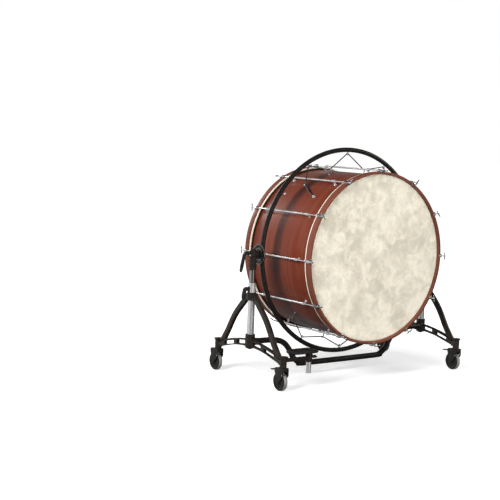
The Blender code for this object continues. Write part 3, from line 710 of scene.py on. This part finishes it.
def build_tension_stations():
    for angle in STATION_ANGLES:
        tube = [tension_rod()]
        fittings = []
        for sign, turn in zip((-1, 1), T_BAR_TURNS[angle]):
            tube += lug_post(sign)
            fittings += claw_hook(sign) + t_handle(sign, turn)
        node = "tension_lug_%03d" % angle
        piece(node + "_tube", round_drum(tube, angle), LUG_CHROME, "drum", node, sharp=35)
        piece(node + "_claws", round_drum(fittings, angle), CHROME, "drum", node, sharp=35)


# ---- ring and cords

def eye_hook():
    """Eye screw on the ring's inner side, at the top; the cord runs through it along X."""
    seat = RING_RADIUS - RING_TUBE
    eye = along_x(ring_of(0.0075, 0.0020, 28, 12), 0, 0, RING_CORD)
    stem = rod(0.0024, RING_CORD + 0.0075, seat + 0.004, 0.0004, 16)
    collar = rod(0.0045, seat - 0.003, seat + 0.001, 0.0006, 20)
    return [eye, stem, collar]


def pivot_disc(sign, reach):
    """Boss and disc on one side of the ring, out to the given distance."""
    profile = [
        (0, RING_RADIUS), (0.0225, RING_RADIUS), (0.0205, DISC_START), (DISC_RADIUS - 0.0020, DISC_START),
        (DISC_RADIUS, DISC_START + 0.0016), (DISC_RADIUS, reach - 0.0020), (DISC_RADIUS - 0.0025, reach),
        (0.0400, reach), (0.0390, reach - 0.0012), (0.0250, reach - 0.0012), (0.0240, reach), (0, reach),
    ]
    return sideways(profile, sign, PIVOT.z, 96, 0.0009)


def build_ring():
    meshes = [about_drum(ring_of(RING_RADIUS, RING_TUBE, BIG_CIRCLE, 24), PIVOT)]
    trims = []
    for sign in (-1, 1):
        end = high("left_pivot_pin").x if sign < 0 else low("right_pivot_pin").x
        reach = abs(end) - GAP
        meshes.append(pivot_disc(sign, reach))
        for inner, outer in ((0.0310, 0.0325), (0.0518, 0.0534)):
            trim = sleeve(inner, outer, sign * (reach - 0.0030), sign * (reach + 0.0001), 96, 0.0006, 2)
            trims.append(along_x(trim, 0, 0, PIVOT.z))
    hooks = []
    for angle in EYE_ANGLES:
        hooks += round_drum(eye_hook(), angle, PIVOT)
    piece("suspension_ring_tube", meshes, PAINT, "drum", "suspension_ring")
    piece("pivot_disc_rings", trims, CHROME, "drum", "suspension_ring")
    piece("ring_eye_hooks", hooks, CHROME, "drum", "suspension_ring")


def build_pivot_pins():
    for side, sign in (("left", -1), ("right", 1)):
        node = side + "_pivot_pin"
        inner, outer = sorted((abs(low(node).x), abs(high(node).x)))
        collar = inner + 0.0053
        pin = [(0, inner), (0.0140, inner), (0.0140, collar), (0.0080, collar), (0.0080, outer), (0, outer)]
        pin = sideways(pin, sign, PIVOT.z, 32, 0.0006, 2)
        piece(side + "_pivot_shaft", [pin], CHROME, "drum", node)


def shell_hook():
    """Chrome tab on the shell that bends over the cord, with its round base and screw."""
    foot = SHELL_FACE
    under = SHELL_CORD + 0.0034
    over = SHELL_CORD + 0.0068
    lip = SHELL_CORD - 0.003
    outline = rounded([
        (-0.0062, foot), (-0.0030, foot), (-0.0030, under), (0.0030, under),
        (0.0030, lip), (0.0062, lip), (0.0062, over), (-0.0062, over),
    ], 0.0014, 3)
    tab = side_plate([outline], 0, 0.0062, 0.0009)
    base = moved(rod(0.0085, foot, foot + 0.0024, 0.0008, 28), shift(0, 0.004, 0))
    screw = moved(rod(0.0036, foot + 0.002, foot + 0.0048, 0.0010, 20), shift(0, 0.0075, 0))
    return [tab, base, screw]


def build_shell_hooks():
    meshes = []
    for angle in HOOK_ANGLES:
        meshes += round_drum(shell_hook(), angle)
    piece("shell_cord_hooks", meshes, CHROME, "drum", "shell")


def cord_path(stops):
    """Route straight from hook to hook. The cord lies level through each hook, and ends at a cleat."""
    points = []
    for place, angle in stops:
        if place == "cleat":
            points.append(polar(CORD_END, angle - math.copysign(CORD_END_TURN, angle)))
            continue
        middle = polar(RING_CORD, angle, 0, PIVOT) if place == "ring" else polar(SHELL_CORD, angle)
        turn = math.radians(angle)
        along = Vector((math.cos(turn), 0, -math.sin(turn))) * 0.005
        points += [middle - along, middle, middle + along]
    return rounded(points, 0.004, 4, closed=False)


def knot(place, along):
    """Overhand knot: a short turn of cord about its own line."""
    side = Vector((0, 1, 0))
    across = along.cross(side).normalized()
    coil = []
    for k in range(25):
        turn = math.tau * k / 24
        offset = (across * math.cos(turn) + side * math.sin(turn)) * 0.0040
        coil.append(place + offset + along * (0.0012 * math.sin(2 * turn)))
    return swept(coil, CORD_RADIUS * 1.1, 10)


def build_cords():
    top = [("ring", -30), ("shell", -15), ("ring", 0), ("shell", 15), ("ring", 30)]
    top = [("cleat", -CLEAT_ANGLE), *top, ("cleat", CLEAT_ANGLE)]
    bottom = [("shell" if k % 2 == 0 else "ring", 135 + 15 * k) for k in range(7)]
    for name, stops in (("top", top), ("bottom", bottom)):
        path = cord_path(stops)
        meshes = [swept(path, CORD_RADIUS, 12)]
        for place, after in ((path[0], path[3]), (path[-1], path[-4])):
            along = (after - place).normalized()
            meshes.append(knot(place + along * 0.004, along))
        piece("elastic_cord_" + name, meshes, CORD, "drum", "suspension_cord_" + name)


def cleat_screw(y, flange):
    """Domed screw head on its round foot, at the top of the shell."""
    start = SHELL_RADIUS + 0.0028
    top = SHELL_RADIUS + 0.0078
    base = rod(flange, SHELL_FACE, SHELL_RADIUS + 0.0030, 0.0008)
    head = lathe([(0, start), (0.0050, start), (0.0046, top - 0.0012), (0.0016, top), (0, top)], 24, 0.0012)
    return placed([base, head], 0, y)


def build_cleats():
    """Black cord anchors on the shell's shoulders, with their chrome feet and spare screws."""
    for side, sign in (("left", -1), ("right", 1)):
        node = side + "_cord_cleat"
        foot_angle = sign * CLEAT_FOOT_ANGLE
        path = smooth_path([
            polar(SHELL_RADIUS + 0.006, foot_angle, -0.115),
            polar(SHELL_RADIUS + 0.012, sign * 42.0, -0.070),
            polar(0.476, sign * 39.0, -0.028),
            polar(0.480, sign * CLEAT_ANGLE),
            polar(SHELL_RADIUS + 0.010, sign * 36.6, 0.030),
        ])
        # The strap is drawn wider than the real one, so that it also covers its own shadow on the shell:
        # partly painted shadow.
        bar = swept(path, 0.0058, 16, eased([(0, 0.85), (0.2, 1.0), (0.85, 1.0), (1, 0.7)], len(path)))
        piece(side + "_cord_strap", [bar], PAINT, "drum", node)
        screws = round_drum(cleat_screw(-0.115, 0.0090) + cleat_screw(0.140, 0.0070), foot_angle)
        collar = moved(along_y(ring_of(0.0062, 0.0020, 28, 12)), about_y(sign * CLEAT_ANGLE))
        collar = moved(collar, shift(*polar(0.4805, sign * CLEAT_ANGLE)))
        tip = ball(polar(SHELL_RADIUS + 0.0075, foot_angle, -0.116), 0.0068)
        piece(side + "_cord_anchor", [*screws, collar, tip], LUG_CHROME, "drum", node)


# ---- towers

def beam_outline():
    top = [(0.0, 0.2255), (0.052, 0.2235), (0.110, 0.2155), (0.168, 0.2050), (0.209, 0.195), (0.290, 0.158)]
    under = [
        (0.0, 0.185), (0.060, 0.1835), (0.110, 0.178), (0.150, 0.1715), (0.200, 0.159), (0.235, 0.150),
        (0.290, 0.136),
    ]
    left_top = [(-y, z) for y, z in reversed(top[1:])]
    left_under = [(-y, z) for y, z in under[1:]]
    return left_top + top + list(reversed(under)) + left_under


def beam_windows():
    outer = [(0.139, 0.1795), (0.2265, 0.1610), (0.2265, 0.1795), (0.139, 0.1985)]
    inner = [(0.034, 0.1960), (0.108, 0.1870), (0.108, 0.2065), (0.034, 0.2155)]
    return [[(sign * y, z) for y, z in outline] for sign in (-1, 1) for outline in (outer, inner)]


def caster_post():
    """Round post at the end of a foot, with its flared rim, clamp band and cap screw."""
    body = lathe([
        (0.0070, 0.1253), (0.0176, 0.1253), (0.0185, 0.1270), (0.0185, 0.140), (0.0178, 0.1415),
        (0.0178, 0.1435), (0.0185, 0.145), (0.0185, 0.1745), (0.0245, 0.1785), (0.0245, 0.183),
        (0.0070, 0.183),
    ], 40, 0.0010)
    cap = lathe([(0, 0.1826), (0.0150, 0.1826), (0.0120, 0.1855), (0, 0.1862)], 32, 0.001)
    return [body, cap]


def column_socket():
    """Ribbed socket in the middle of a foot that holds the column."""
    body = lathe([
        (0, 0.178), (0.0235, 0.178), (0.0235, 0.186), (0.0250, 0.190), (0.0250, 0.238), (0.0262, 0.242),
        (0.0262, 0.254), (0.0197, 0.254), (0.0197, 0.246), (0.0190, 0.246), (0, 0.246),
    ], 48, 0.0012)
    ribs = spokes(8, 0.5, (0.0235, -0.0026, 0.186), (0.0268, 0.0026, 0.240), 0.0012)
    return [body, hex_head(0.0105, 0.1722, 0.1782), *ribs]


def build_foot(side, sign):
    x = sign * TOWER_X
    windows = [rounded(window, 0.005, 4) for window in beam_windows()]
    meshes = [side_plate([rounded(beam_outline(), 0.010, 4), *windows], x, 0.020, 0.0030)]
    for y in (-POST_Y, POST_Y):
        meshes += placed(caster_post(), x, y)
        inner = y - math.copysign(0.030, y)
        meshes.append(block((x - 0.0115, inner, 0.1365), (x + 0.0115, y, 0.1640), 0.004))
    meshes += placed(column_socket(), x)
    y = centre("base_tube").y
    lug_start = (x - sign * 0.006, y - 0.018, TUBE_Z - 0.018)
    meshes.append(block(lug_start, (sign * 0.5953, y + 0.018, TUBE_Z + 0.018), 0.003))
    piece(side + "_foot_casting", meshes, CAST_PAINT, "stand", side + "_foot")


def leg_outline():
    """One leg in YZ: straight stubs at both ends, and a curved bar of even width between them."""
    spine = [
        Vector(point) for point in
        ((0.064, 0.4230), (0.105, 0.3830), (0.142, 0.3430), (0.174, 0.2975), (0.205, 0.2470), (0.229, 0.2130))
    ]
    outer = [Vector((0.0243, 0.476))]
    inner = [Vector((0.0243, 0.441))]
    for k, point in enumerate(spine):
        along = (spine[min(k + 1, len(spine) - 1)] - spine[max(k - 1, 0)]).normalized()
        across = Vector((-along.y, along.x)) * LEG_HALF_WIDTH
        outer.append(point + across)
        inner.append(point - across)
    outer.append(Vector((0.2750, 0.1825)))
    inner.append(Vector((0.2215, 0.1899)))
    outer, inner = ([point.to_2d() for point in smooth_path([p.to_3d() for p in edge], 5)]
                    for edge in (outer, list(reversed(inner))))
    return outer + [Vector((0.2750, 0.1655))] + inner


def build_legs(side, sign):
    x = sign * TOWER_X
    for end, direction in (("front", -1), ("rear", 1)):
        node = side + "_" + end + "_leg"
        outline = [(direction * point.x, point.y) for point in leg_outline()]
        meshes = [side_plate([outline], x, 0.022, 0.0070)]
        for face in (-1, 1):
            bolt = hex_head(0.0065, 0, 0.004)
            meshes.append(along_x(bolt, x + face * 0.0128 - 0.002, direction * 0.042, 0.4475))
        piece(node + "_bar", meshes, CAST_PAINT, "stand", node)


def build_column(side, sign):
    x = sign * TOWER_X
    top = high(side + "_column").z
    column = lathe([
        (0.0166, 0.1903), (0.01925, 0.1903), (0.01925, top - 0.010), (0.0200, top - 0.008),
        (0.0200, top), (0.0166, top),
    ], 64, 0.0006)
    piece(side + "_column_tube", placed([column], x), LUG_CHROME, "stand", side + "_column")
    clamp = lathe([
        (0.0196, CLAMP_BOTTOM), (0.0226, CLAMP_BOTTOM), (0.0240, CLAMP_BOTTOM + 0.003),
        (0.0240, CLAMP_TOP - 0.003), (0.0226, CLAMP_TOP), (0.0196, CLAMP_TOP),
    ], 48, 0.0008)
    tab = block((sign * 0.0198, -0.0090, 0.460), (sign * 0.0232, 0.0090, 0.5120), 0.0016)
    boss = [(0, 0.020), (0.0105, 0.020), (0.0105, 0.0205), (0.0092, 0.022), (0, 0.022)]
    boss = sideways(boss, sign, AXES[side + "_height_lever_turn"].z, 32, 0.0005, 2)
    outline = rounded([
        (-0.036, CLAMP_BOTTOM), (0.036, CLAMP_BOTTOM), (0.036, CLAMP_BOTTOM + 0.025),
        (0.022, CLAMP_TOP - 0.002), (-0.022, CLAMP_TOP - 0.002), (-0.036, CLAMP_BOTTOM + 0.025),
    ], 0.006)
    cheeks = [side_plate([outline], face * 0.0140, 0.0036, 0.0012) for face in (-1, 1)]
    meshes = placed([clamp, boss, tab, *cheeks], x)
    piece(side + "_clamp_body", meshes, CAST_PAINT, "stand", side + "_column_clamp")


def build_mast(side, sign):
    x = sign * TOWER_X
    body = side + "_mast"
    mast = sleeve(0.0135, 0.016, 0.270, 0.6547, 64, 0.0006)
    piece(side + "_mast_chrome", placed([mast], x), MAST_CHROME_PAINTED_DARK, body, side + "_mast_tube")
    node = side + "_mast_head"
    bottom = low(node).z
    top = high(node).z
    socket = lathe([
        (0, 0.6555), (0.0163, 0.6555), (0.0163, bottom), (0.0180, bottom), (0.0196, bottom + 0.003),
        (0.0196, bottom + 0.010), (0.0182, bottom + 0.012), (0.0182, top - 0.016), (0.0150, top - 0.004),
        (0.0090, top), (0, top),
    ], 48, 0.0009)
    ribs = spokes(12, 0.5, (0.0172, -0.0013, bottom + 0.011), (0.0194, 0.0013, top - 0.022), 0.0006, 2)
    barrel = [
        (0.0087, HEAD_INNER), (0.0190, HEAD_INNER), (0.0205, HEAD_INNER + 0.002),
        (0.0205, HEAD_OUTER - 0.004), (0.0185, HEAD_OUTER), (0.0087, HEAD_OUTER),
    ]
    meshes = [sideways(barrel, sign, PIVOT.z, 48, 0.0009), *placed([socket, *ribs], x)]
    piece(side + "_mast_bracket", meshes, CAST_PAINT, body, node)
    cap = rod(0.0084, sign * (HEAD_OUTER - 0.0072), sign * (HEAD_OUTER - 0.0010), 0.0006, 28)
    piece(side + "_pivot_cap", [along_x(cap, 0, 0, PIVOT.z)], CHROME, body, node)


def clamp_lever(sign, height, reach, drop, lean, radius):
    """Bent clamp lever: a thick hub going outwards, then a handle hanging down."""
    start = HEAD_OUTER + GAP
    out = start + reach
    bend = rounded([
        (sign * start, 0, height), (sign * (out - 0.002), 0, height),
        (sign * (out + 0.002), lean, height - drop + 0.003),
    ], 0.014, 8, closed=False)
    straight = [bend[-2] + (bend[-1] - bend[-2]) * k / 7 for k in range(1, 7)]
    path = bend[:-1] + straight + bend[-1:]
    tapers = eased([(0, 1.0), (0.35, 1.15), (0.6, 1.05), (0.85, 1.18), (1.0, 0.95)], len(path))
    handle = swept(path, radius, 20, tapers)
    hub = [
        (0, start), (0.0098, start), (0.0108, start + 0.002), (0.0108, start + 0.009),
        (0.0085, start + 0.013), (0, start + 0.013),
    ]
    return [handle, sideways(hub, sign, height, 28, 0.0009), ball(path[-1], radius * tapers[-1] * 0.99)]


def lever_screw(sign, height, reach):
    """Round screw head on the outside of a clamp lever's elbow."""
    face = HEAD_OUTER + reach + 0.0055
    cap = rod(0.0052, sign * (face - 0.006), sign * (face + 0.0012), 0.0008)
    return along_x(cap, 0, 0, height - 0.0015)


def build_levers(side, sign):
    for kind, reach, drop, lean, radius in (
        ("tilt", 0.036, 0.100, 0.022, 0.0086), ("height", 0.026, 0.052, 0.006, 0.0105),
    ):
        name = side + "_" + kind
        height = AXES[name + "_lever_turn"].z
        lever = clamp_lever(sign, height, reach, drop, lean, radius)
        piece(name + "_clamp_lever", lever, PLASTIC, name + "_lever", name + "_handle")
        screw = lever_screw(sign, height, reach)
        piece(name + "_clamp_screw", [screw], CHROME, name + "_lever", name + "_handle")


def build_base_tube():
    half = [
        (0.540, TUBE_Z), (0.500, 0.214), (0.458, 0.2095), (0.422, 0.199), (0.394, 0.181), (0.373, 0.157),
        (0.357, 0.134), (0.346, 0.115), (0.331, 0.097), (0.312, 0.082), (0.290, 0.072), (0.255, 0.067),
    ]
    end = high("base_tube").x
    y = centre("base_tube").y
    left = [(-x, y, z) for x, z in [(end, TUBE_Z), *half]]
    right = [(-x, y, z) for x, y, z in reversed(left)]
    meshes = [swept(smooth_path(left + right, 6), 0.0158, 28)]
    for sign in (-1, 1):
        ferrule = sleeve(0.0150, 0.0176, sign * (end - 0.014), sign * end, 40, 0.0012)
        meshes.append(along_x(ferrule, 0, y, TUBE_Z))
    piece("base_tube_bar", meshes, PAINT, "stand", "base_tube")


# ---- casters

def fork_cheek_outline():
    """One fork cheek in YZ, round under the axle."""
    axle = []
    for k in range(11):
        turn = math.radians(200 + 16 * k)
        axle.append((TRAIL + AXLE_BOSS * math.cos(turn), WHEEL_RADIUS + AXLE_BOSS * math.sin(turn)))
    front = [(-0.024, 0.1249), (-0.024, 0.085)]
    rear = [(0.040, 0.086), (0.047, 0.103), (0.047, 0.117), (0.040, 0.1249)]
    return rounded(rounded(front, 0.004, 3, closed=False) + axle + rear, 0.004, 3)


def build_fork(caster, x, y):
    meshes = [side_plate([fork_cheek_outline()], face * 0.0184, 0.0042, 0.0012) for face in (-1, 1)]
    meshes += [
        block((-0.0190, -0.0238, 0.1038), (0.0190, 0.0330, 0.1247), 0.0030),
        lathe([(0, 0.1180), (0.0200, 0.1180), (0.0200, 0.1225), (0.0150, 0.1249), (0, 0.1249)], 40, 0.0008),
        along_x(rod(0.0042, -0.0200, 0.0200), 0, TRAIL, WHEEL_RADIUS),
        along_x(hex_head(0.0062, 0, -0.0024), -0.0203, TRAIL, WHEEL_RADIUS),
        along_x(hex_head(0.0062, 0, 0.0024), 0.0203, TRAIL, WHEEL_RADIUS),
        rod(0.006, 0.120, 0.155),
    ]
    piece(caster + "_housing", placed(meshes, x, y), PLASTIC, caster, caster + "_fork")
    pin = along_x(rod(0.0030, -0.0212, 0.0212, 0.0006, 20), x, y - 0.0180, 0.0885)
    piece(caster + "_cross_pin", [pin], CHROME, caster, caster + "_fork")


def build_wheel(node, body, axle):
    tyre = lathe(mirrored([(0.0400, -0.0098), (0.0488, -0.0098), (WHEEL_RADIUS, -0.0078)]), 96, 0.0016, 4)
    hub = lathe(mirrored([
        (0.0048, -0.0138), (0.0115, -0.0140), (0.0140, -0.0112), (0.0335, -0.0106), (0.0365, -0.0136),
        (0.0440, -0.0138), (0.0472, -0.0118), (0.0478, -0.0096), (0.0398, -0.0096),
    ]), 72, 0.0010)
    ribs = []
    for face in (-1, 1):
        shape = (0.0130, -0.0012, face * 0.0116 - 0.0018), (0.0350, 0.0012, face * 0.0116 + 0.0018)
        ribs += spokes(8, 0, *shape, 0.0007, 2)
    piece(node + "_tyre", [along_x(tyre, *axle)], TYRE, body, node)
    piece(node + "_hub", [along_x(mesh, *axle) for mesh in (hub, *ribs)], PLASTIC, body, node)


def build_brake_pedal(side):
    body = side + "_brake_pedal"
    right = [(0.011, 0.0), (0.012, 0.045), (0.006, 0.062)]
    outline = rounded([(-0.011, 0.0), *right, (-0.006, 0.062), (-0.012, 0.045)], 0.004)
    tread = [plate([outline], 0.005, 0.0014)]
    for k in range(5):
        y = 0.018 + 0.008 * k
        tread.append(block((-0.009, y - 0.0011, 0.0020), (0.009, y + 0.0011, 0.0036), 0.0006, 2))
    slope = Matrix.Rotation(math.radians(PEDAL_SLOPE), 4, "X")
    tread = [moved(mesh, slope, shift(0, 0, -0.001)) for mesh in tread]
    barrel = along_x(rod(0.005, -0.0155, 0.0155, 0.001))
    meshes = placed([barrel, *tread], *AXES[side + "_brake"])
    piece(side + "_brake_lever", meshes, PLASTIC, body, body)


# ---- footrest

def stadium(length, width, corner, steps=10):
    outline = []
    for across, along, start in ((1, 1, 0), (-1, 1, 90), (-1, -1, 180), (1, -1, 270)):
        for k in range(steps + 1):
            turn = math.radians(start + 90 * k / steps)
            x = across * (length / 2 - corner) + corner * math.cos(turn)
            outline.append((x, along * (width / 2 - corner) + corner * math.sin(turn)))
    return outline


def build_footrest():
    post = centre("footrest_post")
    arm = block((low("footrest_bracket").x, post.y - 0.017, 0.153), (post.x, post.y + 0.005, 0.172), 0.0040)
    collar = sleeve(0.0139, 0.0185, 0.141, 0.185, 48, 0.0016)
    band = sleeve(0.0180, 0.0197, 0.176, 0.182, 48, 0.0008)
    boss = along_x(rod(0.0080, 0.0150, 0.0200, 0.0008), 0, 0, AXES["footrest_knob_turn"].z)
    bracket = [arm, *placed([collar, band, boss], post.x, post.y)]
    piece("footrest_arm", bracket, CAST_PAINT, "stand", "footrest_bracket")
    tube = lathe([(0, 0.081), (0.0135, 0.081), (0.0135, 0.1917), (0, 0.1917)], 48, 0.001)
    piece("footrest_tube", placed([tube], post.x, post.y), LUG_CHROME, "footrest", "footrest_post")


def build_footrest_plate():
    post = centre("footrest_post")
    middle = centre("footrest_plate")
    bottom = low("footrest_plate").z
    length, width, thickness = size("footrest_plate")
    slab = plate([stadium(length, width, 0.035)], thickness - 0.003, 0.006)
    slab = moved(slab, shift(0, 0, (thickness - 0.003) / 2))
    ribs = []
    for k in range(-4, 5):
        y = k * 0.0085
        reach = length / 2 - 0.018 - abs(k) * 0.0028
        ribs.append(block((-reach, y - 0.0022, thickness - 0.0045), (reach, y + 0.0022, thickness), 0.001, 2))
    flange = lathe([(0.0137, 0.1860), (0.0215, 0.1900), (0.0240, 0.1925), (0.0137, 0.1925)], 40, 0.001)
    pad = placed([slab, *ribs], middle.x, middle.y, bottom) + placed([flange], post.x, post.y)
    piece("footrest_pad", pad, PLASTIC, "footrest", "footrest_plate")
    screw = along_x(rod(0.0045, 0.0188, 0.036))
    hub = along_x(rod(0.0085, 0.028, 0.044, 0.0020))
    outline = [
        (0.031, -0.004), (0.038, -0.016), (0.046, -0.0155), (0.0445, 0.0), (0.046, 0.0155),
        (0.038, 0.016), (0.031, 0.004),
    ]
    wing = plate([rounded(outline, 0.004, 5)], 0.0085, 0.0022)
    knob = placed([screw, hub, wing], post.x, post.y, AXES["footrest_knob_turn"].z)
    piece("footrest_wing_nut", knob, PLASTIC, "footrest_knob", "footrest_wing_knob")


# ---- stage

def build_stage():
    build = bmesh.new()
    bmesh.ops.create_grid(build, x_segments=4, y_segments=4, size=FLOOR_SIZE)
    mesh = mesh_from(build)
    mesh.materials.append(pale_floor())
    floor = in_scene("studio_floor", mesh)
    floor.location = (0, 0, -FLOOR_DROP)
    floor.visible_glossy = False
    floor.visible_diffuse = False


def build_world():
    """White surround. What reflections see is a studio: a bright backdrop behind and to the left, one tall
    bright panel in front of the playing head, and dark in between."""
    world = bpy.data.worlds.new("studio")
    bpy.context.scene.world = world
    world.use_nodes = True
    g = Graph(world.node_tree)
    x, y, z = g.node("SeparateXYZ", "X", {"Vector": g.node("TexCoord", "Generated", {})}).node.outputs
    turn = g.math("MULTIPLY_ADD", g.math("ARCTAN2", y, x), 1 / math.tau, 0.5)
    around = g.ramp(turn, [
        (0.0, 0.62), (0.06, 0.50), (0.10, 0.08), (0.205, 0.06), (0.22, 0.85), (0.29, 0.85),
        (0.305, 0.07), (0.45, 0.06), (0.60, 0.10), (0.72, 0.60), (0.90, 0.80), (1.0, 0.62),
    ])
    height = g.math("MULTIPLY_ADD", z, 0.5, 0.5)
    upward = g.ramp(height, [(0.0, 0.10), (0.30, 0.45), (0.48, 1.0), (0.60, 0.8), (0.76, 0.22), (1.0, 0.08)])
    studio = g.mix(1.0, around, upward, "MULTIPLY")
    seen = g.mix(g.node("LightPath", "Is Camera Ray", {}), studio, (1, 1, 1))
    g.feed(g.tree.nodes["Background"].inputs["Color"], seen)


def add_area(name, place, width, height, power, reflected=True):
    """Soft rectangular light. One that isn't reflected still lights surfaces, but leaves no highlight."""
    light = bpy.data.lights.new(name, "AREA")
    light.shape = "RECTANGLE"
    light.size = width
    light.size_y = height
    light.energy = power
    item = in_scene(name, light)
    item.location = place
    item.visible_glossy = reflected
    item.rotation_euler = (LIT_MIDDLE - Vector(place)).to_track_quat("-Z", "Y").to_euler()


def build_lights():
    add_area("front_softbox", (-0.6, -5.6, 1.1), 3.0, 2.0, 205, False)
    add_area("left_softbox", (-5.0, -1.6, 3.0), 1.8, 2.4, 330, False)
    add_area("top_softbox", (0.4, -1.6, 4.2), 2.6, 2.6, 30, False)
    add_area("right_softbox", (4.4, -2.0, 2.0), 1.2, 2.4, 50)
    add_area("back_softbox", (-1.2, 5.4, 2.8), 3.0, 2.0, 90)


def build_camera():
    data = bpy.data.cameras.new("camera")
    data.lens = CAMERA_LENS
    data.sensor_width = CAMERA_SENSOR
    camera = in_scene("camera", data)
    right = CAMERA_FORWARD.cross(CAMERA_UP).normalized()
    up = right.cross(CAMERA_FORWARD).normalized()
    back = -CAMERA_FORWARD.normalized()
    camera.matrix_world = Matrix((
        (right.x, up.x, back.x, CAMERA_PLACE.x),
        (right.y, up.y, back.y, CAMERA_PLACE.y - BEHIND.y),
        (right.z, up.z, back.z, CAMERA_PLACE.z),
        (0, 0, 0, 1),
    ))
    bpy.context.scene.camera = camera
    bpy.context.scene.view_settings.view_transform = "Standard"


# ---- all together

build_camera()
build_shell()
build_hoops_and_heads()
build_tension_stations()
build_ring()
build_pivot_pins()
build_shell_hooks()
build_cords()
build_cleats()
for side, sign in (("left", -1), ("right", 1)):
    build_foot(side, sign)
    build_legs(side, sign)
    build_column(side, sign)
    build_mast(side, sign)
    build_levers(side, sign)
    for end, post_y in (("front", -POST_Y), ("rear", POST_Y)):
        caster = side + "_" + end
        build_fork(caster + "_caster", sign * TOWER_X, post_y)
        build_wheel(caster + "_caster_wheel", caster + "_wheel", AXES[caster + "_roll"])
    build_brake_pedal(side)
build_base_tube()
build_footrest()
build_footrest_plate()
build_stage()
build_world()
build_lights()
